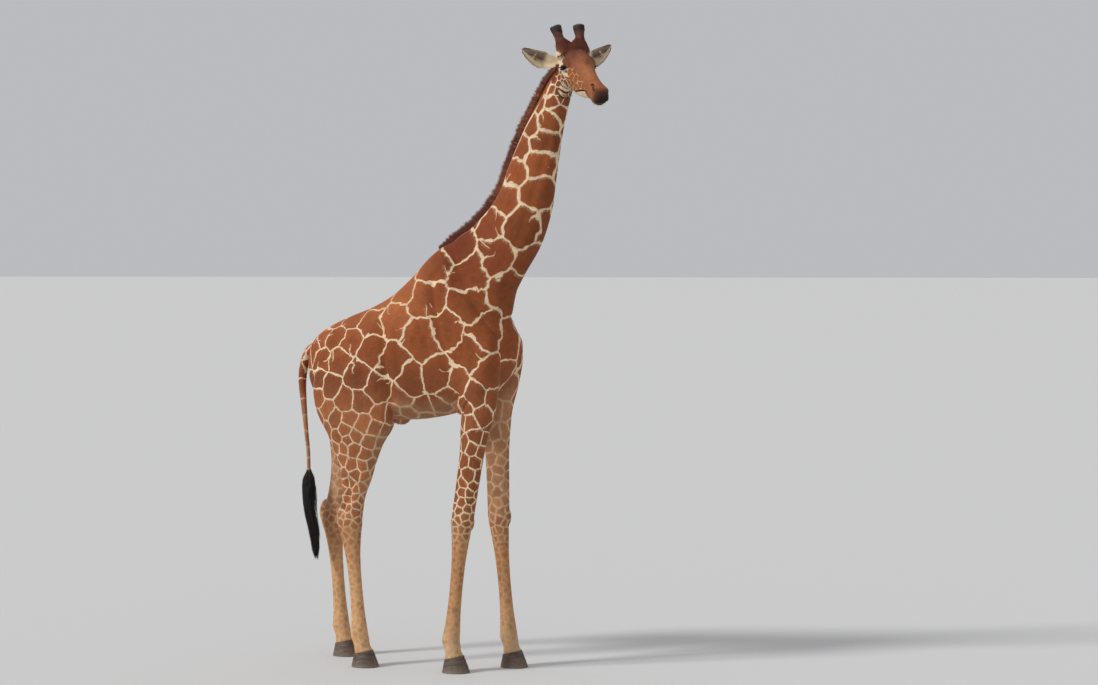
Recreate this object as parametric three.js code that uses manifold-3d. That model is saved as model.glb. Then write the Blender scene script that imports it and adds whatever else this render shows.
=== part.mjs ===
// Reticulated giraffe, a young adult male that stands still and turns its head to its right.
// A life-size model. Millimetres, +Z up; the body faces +X and its left side is +Y.
//
// The animal is built whole, from rings carried along paths and rounded muscles joined to them,
// and is then parted with thin cuts into the pieces that a person would name.

import * as THREE from 'three';
import { mergeVertices } from 'three/addons/utils/BufferGeometryUtils.js';
import Module from 'manifold-3d';

const wasm = await Module();
wasm.setup();

// ---------------------------------------------------------------- driving dimensions

const GAP = 0.4;              // clearance left by each cut between two pieces

const WITHERS_HEIGHT = 2965;
const RUMP_HEIGHT = 2440;
const BELLY_HEIGHT = 1718;
const BARREL_HALF_WIDTH = 300;
const LEG_SPREAD = 195;       // from the midline to the middle of a leg

const ELBOW_HEIGHT = 1830;
const CARPUS_HEIGHT = 1035;
const STIFLE_HEIGHT = 1700;
const HOCK_HEIGHT = 985;
const FETLOCK_HEIGHT = 215;
const CORONET_HEIGHT = 95;
const HOOF_LENGTH = 215;
const HOOF_WIDTH = 170;
const CLEFT_WIDTH = 7;

const HEAD_TURN = THREE.MathUtils.degToRad(-40);    // about +Z, toward the right
const HEAD_PITCH = THREE.MathUtils.degToRad(27);    // nose down
const HEAD_ROLL = THREE.MathUtils.degToRad(4.5);    // its left side higher
const EYE_LINE = new THREE.Vector3(1268, -122, 4132);
const EYE_RADIUS = 23;
const EYE_SPREAD = 103;
const EAR_LENGTH = 240;
const EAR_WIDTH = 122;
const OSSICONE_LENGTH = 191;
const MANE_HEIGHT = 58;
const TAIL_TUFT_TOP = 1325;

const TRUNK_SIDES = 18;
const NECK_SIDES = 14;
const HEAD_SIDES = 15;
const LEG_SIDES = 10;

// ---------------------------------------------------------------- solids from rings

const FORWARD = new THREE.Vector3(1, 0, 0);
const LEFTWARD = new THREE.Vector3(0, 1, 0);
const DOWNWARD = new THREE.Vector3(0, 0, -1);

/** Uniform Catmull-Rom through the values at stations 0, 1, 2 ... read at place t. */
function smooth(values, t) {
  const last = values.length - 1;
  const i = Math.min(Math.floor(t), last - 1);
  const f = t - i;
  const a = values[Math.max(i - 1, 0)];
  const b = values[i];
  const c = values[i + 1];
  const d = values[Math.min(i + 2, last)];
  const slopeB = (c - a) / 2;
  const slopeC = (d - b) / 2;
  const f2 = f * f;
  const f3 = f2 * f;
  return (2 * f3 - 3 * f2 + 1) * b + (f3 - 2 * f2 + f) * slopeB
    + (3 * f2 - 2 * f3) * c + (f3 - f2) * slopeC;
}

/** Fills in what a station leaves out: round, even, and turned to nothing. */
function station(given) {
  const [x, y, z] = given.at;
  return { x, y, z, square: 2, pear: 0, turn: 0, ...given };
}

/**
 * A closed body from rings along a path. Each station has a centre, a half width, and a reach
 * up and down from it. Up is to the animal's back on the trunk and neck and to the front on a leg.
 * square above 2 fills the ring's corners, and pear above 0 widens it below and narrows it above.
 * The rings follow the path, or all face one way. grow makes every ring larger by so much, for the
 * room that another piece is given.
 */
function loft(given, { sides, rings, facing = null, grow = 0 }) {
  const stations = given.map(station);
  const read = (name, t) => smooth(stations.map((s) => s[name]), t);
  const centre = (t) => new THREE.Vector3(read('x', t), read('y', t), read('z', t));
  const span = stations.length - 1;
  const positions = [];
  for (let ring = 0; ring <= rings; ring += 1) {
    const t = (ring / rings) * span;
    const step = 0.01;
    const along = centre(Math.min(t + step, span)).sub(centre(Math.max(t - step, 0))).normalize();
    const side = LEFTWARD.clone().applyAxisAngle(new THREE.Vector3(0, 0, 1), read('turn', t));
    if (facing) along.copy(facing);
    const up = along.clone().cross(side).normalize();
    side.crossVectors(up, along).normalize();
    const power = 2 / read('square', t);
    const middle = centre(t);
    if (ring === 0) middle.addScaledVector(along, -grow);
    if (ring === rings) middle.addScaledVector(along, grow);
    for (let k = 0; k < sides; k += 1) {
      const angle = (2 * Math.PI * k) / sides;
      const c = Math.cos(angle);
      const s = Math.sin(angle);
      const across = Math.sign(c) * Math.abs(c) ** power * (1 - read('pear', t) * s);
      const reach = (s > 0 ? read('up', t) : read('down', t)) + grow;
      const point = middle.clone()
        .addScaledVector(side, (read('wide', t) + grow) * across)
        .addScaledVector(up, reach * Math.sign(s) * Math.abs(s) ** power);
      positions.push(...point.toArray());
    }
    if (ring === 0 || ring === rings) positions.push(...middle.toArray());
  }
  return solidFrom(positions, ringFaces(sides, rings));
}

/** Faces of a ringed tube whose first and last rings are each closed by a fan to their centre. */
function ringFaces(sides, rings) {
  const firstCentre = sides;
  const start = (ring) => ring * sides + (ring > 0 ? 1 : 0);
  const lastCentre = start(rings) + sides;
  const faces = [];
  for (let ring = 0; ring < rings; ring += 1) {
    for (let k = 0; k < sides; k += 1) {
      const next = (k + 1) % sides;
      const a = start(ring) + k;
      const b = start(ring) + next;
      const c = start(ring + 1) + next;
      const d = start(ring + 1) + k;
      faces.push(a, b, c, a, c, d);
    }
  }
  for (let k = 0; k < sides; k += 1) {
    const next = (k + 1) % sides;
    faces.push(firstCentre, start(0) + next, start(0) + k);
    faces.push(lastCentre, start(rings) + k, start(rings) + next);
  }
  return faces;
}

function solidFrom(positions, faces) {
  const mesh = new wasm.Mesh({
    numProp: 3,
    vertProperties: new Float32Array(positions),
    triVerts: new Uint32Array(faces),
  });
  const solid = new wasm.Manifold(mesh);
  if (solid.volume() > 0) return solid;
  const turned = [];
  for (let i = 0; i < faces.length; i += 3) turned.push(faces[i], faces[i + 2], faces[i + 1]);
  mesh.triVerts = new Uint32Array(turned);
  return new wasm.Manifold(mesh);
}

/** A three.js geometry as a solid, moved by the matrix. */
function solidOf(geometry, matrix) {
  const plain = geometry.clone().applyMatrix4(matrix);
  plain.deleteAttribute('normal');
  plain.deleteAttribute('uv');
  const merged = mergeVertices(plain, 1e-3);
  return solidFrom([...merged.attributes.position.array], [...merged.index.array]);
}

/** A rounded muscle or bone end: an ellipsoid with the given half sizes, tilted about +Y. */
function lump(at, halfSizes, tilt = 0, detail = 7) {
  const matrix = new THREE.Matrix4().compose(
    new THREE.Vector3(...at),
    new THREE.Quaternion().setFromAxisAngle(LEFTWARD, tilt),
    new THREE.Vector3(...halfSizes),
  );
  return solidOf(new THREE.SphereGeometry(1, detail, Math.round(detail * 0.7)), matrix);
}

/** A block that cuts: its middle, its full sizes, and a turn about +Y. */
function block(at, sizes, tilt = 0) {
  const matrix = new THREE.Matrix4().compose(
    new THREE.Vector3(...at),
    new THREE.Quaternion().setFromAxisAngle(LEFTWARD, tilt),
    new THREE.Vector3(...sizes),
  );
  return solidOf(new THREE.BoxGeometry(1, 1, 1), matrix);
}

const FAR = 6000;

/** All the space behind a plane through the point, whose normal points ahead. */
function behind(point, normal) {
  const ahead = normal.clone().normalize();
  const turn = new THREE.Quaternion().setFromUnitVectors(new THREE.Vector3(0, 0, 1), ahead);
  const middle = point.clone().addScaledVector(ahead, -FAR / 2);
  const matrix = new THREE.Matrix4().compose(middle, turn, new THREE.Vector3(FAR, FAR, FAR));
  return solidOf(new THREE.BoxGeometry(1, 1, 1), matrix);
}

/** Parts a body at a plane, and gives what lies ahead of it and what lies behind. */
function partAt(body, point, normal) {
  const ahead = normal.clone().normalize();
  const front = behind(point.clone().addScaledVector(ahead, GAP / 2), ahead);
  const back = behind(point.clone().addScaledVector(ahead, -GAP / 2), ahead);
  return { ahead: body.subtract(front), behind: body.intersect(back) };
}

function joined(solids) {
  return solids.reduce((all, solid) => all.add(solid));
}

// ---------------------------------------------------------------- trunk and neck

/** One upright ring of the trunk, from its top and bottom heights and where it is widest. */
function trunkRing(x, top, bottom, wide, middle, pear = 0) {
  const z = bottom + (top - bottom) * middle;
  return { at: [x, 0, z], wide, up: top - z, down: z - bottom, square: 2.15, pear };
}

function trunkForm() {
  const barrel = BARREL_HALF_WIDTH;
  const rings = [
    trunkRing(-868, RUMP_HEIGHT - 250, BELLY_HEIGHT + 300, barrel * 0.2, 0.5),
    trunkRing(-835, RUMP_HEIGHT - 165, BELLY_HEIGHT + 200, barrel * 0.38, 0.5),
    trunkRing(-765, RUMP_HEIGHT - 98, BELLY_HEIGHT + 120, barrel * 0.58, 0.5),
    trunkRing(-640, RUMP_HEIGHT - 32, BELLY_HEIGHT + 60, barrel * 0.78, 0.48),
    trunkRing(-500, RUMP_HEIGHT + 24, BELLY_HEIGHT + 25, barrel * 0.87, 0.46),
    trunkRing(-340, RUMP_HEIGHT + 84, BELLY_HEIGHT + 5, barrel * 0.92, 0.45),
    trunkRing(-180, RUMP_HEIGHT + 168, BELLY_HEIGHT, barrel * 0.97, 0.43),
    trunkRing(-20, RUMP_HEIGHT + 300, BELLY_HEIGHT + 2, barrel, 0.42),
    trunkRing(130, WITHERS_HEIGHT - 75, BELLY_HEIGHT + 20, barrel * 0.98, 0.42),
    trunkRing(270, WITHERS_HEIGHT, BELLY_HEIGHT + 50, barrel * 0.94, 0.44, 0.08),
    trunkRing(400, WITHERS_HEIGHT - 70, BELLY_HEIGHT + 92, barrel * 0.9, 0.45, 0.16),
    trunkRing(530, WITHERS_HEIGHT - 250, BELLY_HEIGHT + 150, barrel * 0.84, 0.46, 0.24),
    trunkRing(650, WITHERS_HEIGHT - 460, BELLY_HEIGHT + 280, barrel * 0.7, 0.48, 0.2),
    trunkRing(752, WITHERS_HEIGHT - 640, BELLY_HEIGHT + 430, barrel * 0.34, 0.5),
  ];
  return loft(rings, { sides: TRUNK_SIDES, rings: 16, facing: FORWARD });
}

/**
 * The neck's line from the chest to the poll. Each ring has a point on the nape and one on the
 * throat, both as forward and up, a half width, and how far it has swung to the right with the head.
 */
const NECK_LINE = [
  { nape: [70, 2760], throat: [560, 2180], wide: 190 },
  { nape: [262, 2972], throat: [690, 2520], wide: 172 },
  { nape: [400, 3062], throat: [790, 2710], wide: 150 },
  { nape: [545, 3205], throat: [905, 2895], wide: 134 },
  { nape: [640, 3345], throat: [985, 3105], wide: 121 },
  { nape: [695, 3490], throat: [1024, 3300], wide: 109 },
  { nape: [754, 3635], throat: [1064, 3490], wide: 99, swung: 4, turned: 0.1 },
  { nape: [822, 3780], throat: [1104, 3665], wide: 91, swung: 12, turned: 0.25 },
  { nape: [908, 3925], throat: [1156, 3835], wide: 84, swung: 26, turned: 0.5 },
  { nape: [996, 4060], throat: [1200, 3960], wide: 80, swung: 44, turned: 0.8 },
  { nape: [1092, 4152], throat: [1236, 4055], wide: 70, swung: 62, turned: 1 },
];

function neckForm(grow = 0) {
  const rings = NECK_LINE.map(({ nape, throat, wide, swung = 0, turned = 0 }) => {
    const half = Math.hypot(nape[0] - throat[0], nape[1] - throat[1]) / 2;
    const at = [(nape[0] + throat[0]) / 2, -swung, (nape[1] + throat[1]) / 2];
    return { at, wide, up: half, down: half, pear: 0.12, turn: HEAD_TURN * turned };
  });
  return loft(rings, { sides: NECK_SIDES, rings: 14, grow });
}

/** The sheath under a male's belly. */
function sheath() {
  return lump([-150, 0, BELLY_HEIGHT + 15], [80, 36, 52]);
}

// ---------------------------------------------------------------- legs

/**
 * One ring of a leg. The joints are points that the leg's line runs through, and the ring stands
 * a part of the way from one joint to the next, moved forward by shift.
 */
function legRing(from, to, part, front, back, wide, shift = 0) {
  const at = from.clone().lerp(to, part);
  return { at: [at.x + shift, at.y, at.z], up: front, down: back, wide };
}

function foreLegForm({ blade, shoulder, elbow, carpus, fetlock, coronet }) {
  const rings = [
    legRing(blade, shoulder, 0, 70, 90, 62),
    legRing(blade, shoulder, 0.35, 110, 135, 92),
    legRing(blade, shoulder, 0.7, 140, 165, 112),
    legRing(shoulder, elbow, 0, 158, 175, 114),
    legRing(shoulder, elbow, 0.5, 160, 165, 104),
    legRing(shoulder, elbow, 1, 134, 128, 88),
    legRing(elbow, carpus, 0.2, 108, 110, 80),
    legRing(elbow, carpus, 0.42, 92, 90, 70),
    legRing(elbow, carpus, 0.64, 88, 86, 63),
    legRing(elbow, carpus, 0.84, 84, 84, 64),
    legRing(elbow, carpus, 1, 82, 80, 66),
    legRing(carpus, fetlock, 0.14, 66, 68, 57),
    legRing(carpus, fetlock, 0.32, 53, 55, 47),
    legRing(carpus, fetlock, 0.54, 48, 50, 42),
    legRing(carpus, fetlock, 0.76, 50, 54, 46),
    legRing(carpus, fetlock, 0.92, 58, 64, 56),
    legRing(fetlock, coronet, 0, 62, 70, 60),
    legRing(fetlock, coronet, 0.5, 62, 60, 60, 4),
    legRing(fetlock, coronet, 1, 80, 68, 70, 8),
    legRing(fetlock, coronet, 1.4, 90, 74, 76, 10),
  ];
  return loft(rings, { sides: LEG_SIDES, rings: 20 });
}

function hindLegForm({ croup, hip, stifle, gaskin, hock, fetlock, coronet }) {
  const rings = [
    legRing(croup, hip, 0, 60, 80, 40),
    legRing(croup, hip, 0.5, 110, 140, 82),
    legRing(hip, stifle, 0, 175, 220, 104),
    legRing(hip, stifle, 0.3, 250, 315, 118),
    legRing(hip, stifle, 0.65, 296, 328, 120),
    legRing(hip, stifle, 1, 280, 276, 112),
    legRing(stifle, gaskin, 0.4, 208, 210, 95),
    legRing(stifle, gaskin, 0.75, 158, 160, 81),
    legRing(stifle, gaskin, 1, 128, 130, 72),
    legRing(gaskin, hock, 0.4, 91, 98, 61),
    legRing(gaskin, hock, 0.75, 86, 90, 57),
    legRing(gaskin, hock, 1, 90, 96, 58),
    legRing(hock, fetlock, 0.12, 74, 78, 53),
    legRing(hock, fetlock, 0.3, 56, 58, 45),
    legRing(hock, fetlock, 0.55, 50, 50, 41),
    legRing(hock, fetlock, 0.78, 52, 54, 45),
    legRing(hock, fetlock, 0.93, 58, 64, 55),
    legRing(fetlock, coronet, 0, 62, 70, 58),
    legRing(fetlock, coronet, 0.5, 62, 60, 58, 4),
    legRing(fetlock, coronet, 1, 80, 68, 68, 8),
    legRing(fetlock, coronet, 1.4, 90, 74, 74, 10),
  ];
  return loft(rings, { sides: LEG_SIDES, rings: 20 });
}

function point(x, y, z) {
  return new THREE.Vector3(x, y, z);
}

/** Where each leg's joints stand: the left fore and hind legs are set further apart. */
const LEGS = {
  fore_right: {
    fore: true,
    blade: point(300, -LEG_SPREAD + 80, 2740),
    shoulder: point(548, -LEG_SPREAD + 8, 2190),
    elbow: point(553, -LEG_SPREAD, ELBOW_HEIGHT),
    carpus: point(428, -LEG_SPREAD, CARPUS_HEIGHT),
    fetlock: point(345, -LEG_SPREAD, FETLOCK_HEIGHT),
    coronet: point(358, -LEG_SPREAD, CORONET_HEIGHT),
  },
  fore_left: {
    fore: true,
    blade: point(290, LEG_SPREAD - 80, 2740),
    shoulder: point(535, LEG_SPREAD - 8, 2190),
    elbow: point(494, LEG_SPREAD, ELBOW_HEIGHT),
    carpus: point(518, LEG_SPREAD, CARPUS_HEIGHT),
    fetlock: point(598, LEG_SPREAD, FETLOCK_HEIGHT),
    coronet: point(615, LEG_SPREAD, CORONET_HEIGHT),
  },
  hind_right: {
    fore: false,
    croup: point(-560, -LEG_SPREAD + 90, 2350),
    hip: point(-460, -LEG_SPREAD + 40, 2190),
    stifle: point(-400, -LEG_SPREAD + 12, STIFLE_HEIGHT),
    gaskin: point(-398, -LEG_SPREAD, 1350),
    hock: point(-445, -LEG_SPREAD - 10, HOCK_HEIGHT),
    fetlock: point(-360, -LEG_SPREAD - 25, FETLOCK_HEIGHT),
    coronet: point(-338, -LEG_SPREAD - 30, CORONET_HEIGHT),
  },
  hind_left: {
    fore: false,
    croup: point(-560, LEG_SPREAD - 90, 2350),
    hip: point(-480, LEG_SPREAD - 40, 2190),
    stifle: point(-596, LEG_SPREAD - 12, STIFLE_HEIGHT),
    gaskin: point(-690, LEG_SPREAD - 15, 1350),
    hock: point(-800, LEG_SPREAD - 20, HOCK_HEIGHT),
    fetlock: point(-732, LEG_SPREAD - 20, FETLOCK_HEIGHT),
    coronet: point(-716, LEG_SPREAD - 20, CORONET_HEIGHT),
  },
};

/** The bump behind the elbow, and the point of the hock that the tendon runs to. */
function legBones(leg) {
  if (leg.fore) {
    return joined([
      lump([leg.elbow.x - 120, leg.elbow.y, leg.elbow.z + 15], [62, 42, 72], 0.5),
      lump([leg.carpus.x + 22, leg.carpus.y, leg.carpus.z + 10], [72, 69, 95]),
    ]);
  }
  return lump([leg.hock.x - 62, leg.hock.y, leg.hock.z + 55], [50, 36, 92], 0.15);
}

/** A hoof: an oval slab that widens to its flat sole, with its toe drawn forward. */
function hoofForm(leg) {
  const { x, y } = leg.coronet;
  const half = HOOF_LENGTH / 2;
  const wall = HOOF_WIDTH / 2;
  const flare = [
    { at: [x + 2, y, CORONET_HEIGHT + 12], up: half * 0.68, down: half * 0.6, wide: wall * 0.8 },
    { at: [x + 5, y, CORONET_HEIGHT * 0.66], up: half * 0.78, down: half * 0.66, wide: wall * 0.88 },
    { at: [x + 9, y, CORONET_HEIGHT * 0.33], up: half * 0.9, down: half * 0.74, wide: wall * 0.95 },
    { at: [x + 12, y, 0], up: half, down: half * 0.8, wide: wall },
  ];
  return loft(flare.map((ring) => ({ ...ring, square: 2.3 })), { sides: 11, rings: 3, facing: DOWNWARD });
}

// ---------------------------------------------------------------- head

const headPlace = new THREE.Matrix4()
  .makeTranslation(EYE_LINE)
  .multiply(new THREE.Matrix4().makeRotationZ(HEAD_TURN))
  .multiply(new THREE.Matrix4().makeRotationY(HEAD_PITCH))
  .multiply(new THREE.Matrix4().makeRotationX(HEAD_ROLL));

/** Carries a solid from the head's own frame, x to the muzzle and z to the brow, to its place. */
function setOnNeck(solid) {
  return solid.transform(headPlace.elements);
}

/** One upright ring of the head, from its top and bottom heights about the line of the eyes. */
function headRing(x, top, bottom, wide, pear = 0) {
  const z = (top + bottom) / 2;
  return { at: [x, 0, z], wide, up: top - z, down: z - bottom, square: 2.2, pear };
}

function skullForm(grow = 0) {
  const rings = [
    headRing(-200, 20, -95, 50),
    headRing(-160, 66, -132, 80),
    headRing(-98, 104, -154, 98),
    headRing(-30, 116, -160, 106),
    headRing(42, 110, -156, 98, -0.12),
    headRing(108, 90, -160, 82, -0.1),
    headRing(175, 67, -147, 70, -0.06),
    headRing(243, 50, -122, 61, -0.04),
    headRing(310, 39, -102, 58),
    headRing(368, 29, -92, 60),
    headRing(414, 10, -84, 54),
    headRing(443, -14, -66, 32),
  ];
  return loft(rings, { sides: HEAD_SIDES, rings: 15, facing: FORWARD, grow });
}

/** Brow, cheek, crown, forehead boss, nostrils and lips. */
function headForms(grow = 0) {
  const muscle = (at, halfSizes, tilt) => lump(at, halfSizes.map((size) => size + grow), tilt);
  const pairs = [-1, 1].flatMap((side) => [
    muscle([-8, side * 76, 34], [74, 40, 44]),           // bone round the eye
    muscle([-55, side * 62, -82], [110, 42, 78], 0.2),   // cheek muscle
    muscle([374, side * 36, -8], [46, 24, 30], 0.3),     // nostril
  ]);
  return joined([
    ...pairs,
    muscle([-112, 0, 92], [74, 88, 48], -0.2),           // crown between the ossicones
    muscle([48, 0, 98], [80, 46, 30], 0.2),              // boss on the forehead
    muscle([402, 0, -50], [43, 54, 36]),                 // upper lip
    muscle([362, 0, -84], [62, 44, 25]),                 // lower lip and chin
  ]);
}

/** An ossicone: a blunt horn under skin, thick at its root and again at its flat top. */
function ossicone(side, grow = 0) {
  const root = new THREE.Vector3(-116, side * 62, 66);
  const lean = new THREE.Vector3(-0.7, side * 0.12, 0.62).normalize();
  const profile = [[0, 62], [0.2, 50], [0.4, 38], [0.6, 33], [0.8, 38], [0.93, 43], [1, 40]];
  const rings = profile.map(([part, radius]) => ({
    at: root.clone().addScaledVector(lean, part * OSSICONE_LENGTH).toArray(),
    wide: radius,
    up: radius,
    down: radius,
  }));
  return setOnNeck(loft(rings, { sides: 10, rings: 8, grow }));
}

function eyeball(side, grow = 0) {
  const size = EYE_RADIUS + grow;
  return setOnNeck(lump([2, side * EYE_SPREAD, 2], [size, size, size], 0, 10));
}

/**
 * An ear: a leaf cupped round its length. Along the leaf it is a narrow stalk, then wide, then a
 * blunt point; across it is an arc, thicker in the middle than at the rim.
 */
function ear(side) {
  const root = new THREE.Vector3(-118, side * 86, -12);
  const along = new THREE.Vector3(-0.4, side, 0.29).normalize();
  const opening = new THREE.Vector3(0.85, side * 0.15, 0.3);
  opening.addScaledVector(along, -opening.dot(along)).normalize();
  const across = new THREE.Vector3().crossVectors(along, opening);
  const buried = 40;
  const droop = 24;
  const cup = 30;
  const steps = 8;
  const columns = 6;
  const positions = [];
  for (let i = 0; i <= steps; i += 1) {
    const t = i / steps;
    const leaf = Math.sin(Math.PI * Math.min(t * 0.93 + 0.07, 1) ** 0.8) ** 0.75;
    const half = Math.max((EAR_WIDTH / 2) * leaf, 7);
    const bow = cup * (1 - t) ** 0.6 * Math.sin(Math.PI * Math.min(t + 0.25, 1)) + 4;
    const thick = 9 * (1 - t) + 2.5;
    const middle = root.clone()
      .addScaledVector(along, t * (EAR_LENGTH + buried))
      .addScaledVector(across, side * droop * Math.sin(Math.PI * t));
    for (let k = 0; k < columns * 2; k += 1) {
      const face = k < columns ? 1 : -1;
      const part = face * (1 - (2 * (k % columns)) / columns);
      const rim = Math.sqrt(1 - part * part);
      const onLeaf = middle.clone()
        .addScaledVector(across, part * half)
        .addScaledVector(opening, bow * (part * part - 1) + face * thick * rim);
      positions.push(...onLeaf.toArray());
    }
    const heart = middle.addScaledVector(opening, -bow);
    if (i === 0 || i === steps) positions.push(...heart.toArray());
  }
  return setOnNeck(solidFrom(positions, ringFaces(columns * 2, steps)));
}

// ---------------------------------------------------------------- mane and tail

/** The mane: an upright strip of stiff hair along the nape, from the poll to the withers. */
function maneForm(grow = 0) {
  const withers = { nape: [160, 2908] };
  const rings = [withers, ...NECK_LINE.slice(1)].map(({ nape, swung = 0, turned = 0 }, i) => {
    const risen = Math.sin(Math.PI * Math.min((i + 0.5) / 5, 0.5)) * (1 - 0.04 * i);
    return {
      at: [nape[0], -swung, nape[1]],
      wide: 15,
      up: 8 + MANE_HEIGHT * risen,
      down: 26,
      turn: HEAD_TURN * turned,
    };
  });
  return loft(rings, { sides: 6, rings: 20, grow });
}

/** The tail hangs beside the left hind leg: a thin dock, then a long tuft of coarse hair. */
function tailForm(grow = 0) {
  const rings = [
    { at: [-815, 0, 2232], wide: 42, up: 40, down: 40 },
    { at: [-893, 6, 2186], wide: 40, up: 36, down: 38 },
    { at: [-942, 14, 2092], wide: 36, up: 32, down: 32 },
    { at: [-962, 20, 1980], wide: 30, up: 28, down: 28 },
    { at: [-952, 20, 1820], wide: 22, up: 22, down: 22 },
    { at: [-932, 20, 1620], wide: 16, up: 16, down: 16 },
    { at: [-914, 20, 1440], wide: 14, up: 14, down: 14 },
    { at: [-912, 20, 1310], wide: 40, up: 44, down: 44 },
    { at: [-911, 20, 1200], wide: 50, up: 56, down: 58 },
    { at: [-908, 20, 1060], wide: 40, up: 44, down: 46 },
    { at: [-872, 20, 920], wide: 36, up: 42, down: 44 },
    { at: [-858, 20, 800], wide: 24, up: 30, down: 32 },
    { at: [-855, 20, 685], wide: 8, up: 12, down: 12 },
  ];
  return loft(rings, { sides: 7, rings: 26, grow });
}

// ---------------------------------------------------------------- whole animal, then its cuts

/**
 * The space that a leg is parted from the trunk with: a block up to the leg's top and in to its
 * inner face, and a longer one below the belly, where the leg may slant forward or back.
 */
function quarter(leg, side, grow) {
  const inner = 95;
  const deep = 700;
  const y = side * (inner + deep / 2);
  const [back, front, top] = leg.fore ? [295, 900, 2030] : [-1100, -85, 2090];
  const low = BELLY_HEIGHT - 60;
  const lowBack = leg.fore ? 0 : back;
  const above = block(
    [(front + back) / 2, y, (top + low) / 2],
    [front - back + grow, deep + grow, top - low + 200 + grow],
  );
  const trim = block([0, y, top + 500], [FAR, FAR, 1000 - grow]);
  const below = block(
    [(front + lowBack) / 2, y, low / 2 - 50],
    [front - lowBack + grow, deep + grow, low + 100 + grow],
  );
  return above.subtract(trim).add(below);
}

const sides = { right: -1, left: 1 };
const pieces = {};

let body = joined([trunkForm(), sheath(), neckForm()]);
for (const leg of Object.values(LEGS)) {
  body = joined([body, leg.fore ? foreLegForm(leg) : hindLegForm(leg), legBones(leg)]);
}

// Each leg is cut off whole, then at its carpus or hock, and at the coronet of its hoof.
for (const [name, leg] of Object.entries(LEGS)) {
  const side = sides[name.split('_')[1]];
  const limb = body.intersect(quarter(leg, side, -GAP));
  body = body.subtract(quarter(leg, side, GAP));
  const joint = leg.fore ? leg.carpus : leg.hock;
  const atJoint = partAt(limb, joint, point(0, 0, 1));
  const atHoof = partAt(atJoint.behind, leg.coronet, point(0.3, 0, 1));
  const hoof = partAt(hoofForm(leg), leg.coronet, point(0.3, 0, 1)).behind;
  pieces[`${name}_upper`] = atJoint.ahead;
  pieces[`${name}_lower`] = atHoof.ahead;
  for (const [claw, outward] of [['inner', -side], ['outer', side]]) {
    const cleft = point(leg.coronet.x - 60, leg.coronet.y + outward * CLEFT_WIDTH / 2, 0);
    const halved = partAt(hoof, cleft, point(-0.05, outward, 0));
    pieces[`${name}_hoof_${claw}`] = halved.ahead;
  }
}

// The neck is cut from the trunk at the withers, and from the head behind the ears and jaw.
const withersCut = partAt(body, point(262, 0, WITHERS_HEIGHT + 10), point(0.73, 0, 0.68));
const wholeNeck = withersCut.ahead.add(setOnNeck(joined([skullForm(), headForms()])));
const nape = point(-150, 0, -60).applyMatrix4(headPlace);
const headCut = partAt(wholeNeck, nape, point(0.8, 0, 0.6).transformDirection(headPlace));
const mouth = point(0, 0, -76).applyMatrix4(headPlace);
const mouthCut = partAt(headCut.ahead, mouth, point(-0.03, 0, 1).transformDirection(headPlace));
pieces.trunk = withersCut.behind;
pieces.neck = headCut.behind;
pieces.head = mouthCut.ahead;
pieces.jaw = mouthCut.behind;

/** Sets a piece into those that carry it, each with a socket for it. */
function setInto(carriers, form) {
  for (const carrier of carriers) pieces[carrier] = pieces[carrier].subtract(form(GAP));
}

// An ear stands on the skin of the head and neck; an eye and an ossicone are set into sockets.
const skin = joined([neckForm(GAP), setOnNeck(joined([skullForm(GAP), headForms(GAP)]))]);
for (const [name, side] of Object.entries(sides)) {
  pieces[`ear_${name}`] = ear(side).subtract(skin).subtract(ossicone(side, GAP));
  pieces[`eye_${name}`] = eyeball(side);
  pieces[`ossicone_${name}`] = ossicone(side);
  setInto(['head'], (grow) => eyeball(side, grow));
  setInto(['head', 'neck'], (grow) => ossicone(side, grow));
}
pieces.mane = maneForm();
setInto(['trunk', 'neck', 'head'], maneForm);
const tail = partAt(tailForm(), point(0, 0, TAIL_TUFT_TOP), point(0, 0, 1));
pieces.tail = tail.ahead;
pieces.tail_tuft = tail.behind;
setInto(['trunk'], tailForm);

// ---------------------------------------------------------------- materials and model

const COAT = { color: 0x9a5430, roughness: 0.85 };
const FACE = { color: 0xa8653c, roughness: 0.85 };
const BUFF = { color: 0xd9bd95, roughness: 0.88 };
const DARK_HAIR = { color: 0x1d1815, roughness: 0.8 };
const MANE_HAIR = { color: 0x6d3420, roughness: 0.85 };
const HORN = { color: 0x3f332a, roughness: 0.5 };
const EYE = { color: 0x120c09, roughness: 0.08 };

/** The finish that a piece takes from its name. */
function finishOf(name) {
  if (name.includes('hoof')) return HORN;
  if (name.startsWith('eye')) return EYE;
  if (name.startsWith('ossicone') || name === 'tail_tuft') return DARK_HAIR;
  if (name === 'mane') return MANE_HAIR;
  if (name === 'head') return FACE;
  if (name.endsWith('lower') || name === 'jaw' || name.startsWith('ear')) return BUFF;
  return COAT;
}

/** A solid as a mesh that sits at the middle of its own box. */
function meshOf(name, solid) {
  const { vertProperties, triVerts } = solid.getMesh();
  const geometry = new THREE.BufferGeometry();
  geometry.setAttribute('position', new THREE.BufferAttribute(vertProperties, 3));
  geometry.setIndex([...triVerts]);
  geometry.computeBoundingBox();
  const middle = geometry.boundingBox.getCenter(new THREE.Vector3());
  geometry.translate(-middle.x, -middle.y, -middle.z);
  const finish = new THREE.MeshStandardMaterial({ metalness: 0, ...finishOf(name) });
  const mesh = new THREE.Mesh(geometry, finish);
  mesh.name = name;
  mesh.position.copy(middle);
  return mesh;
}

const giraffe = new THREE.Group();
for (const [name, solid] of Object.entries(pieces)) giraffe.add(meshOf(name, solid));

// The origin is the middle of the animal's box, on the ground between its hooves.
const bounds = new THREE.Box3().setFromObject(giraffe);
const centre = bounds.getCenter(new THREE.Vector3());
giraffe.position.set(-centre.x, -centre.y, -bounds.min.z);

const model = new THREE.Group();
model.add(giraffe);

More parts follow.
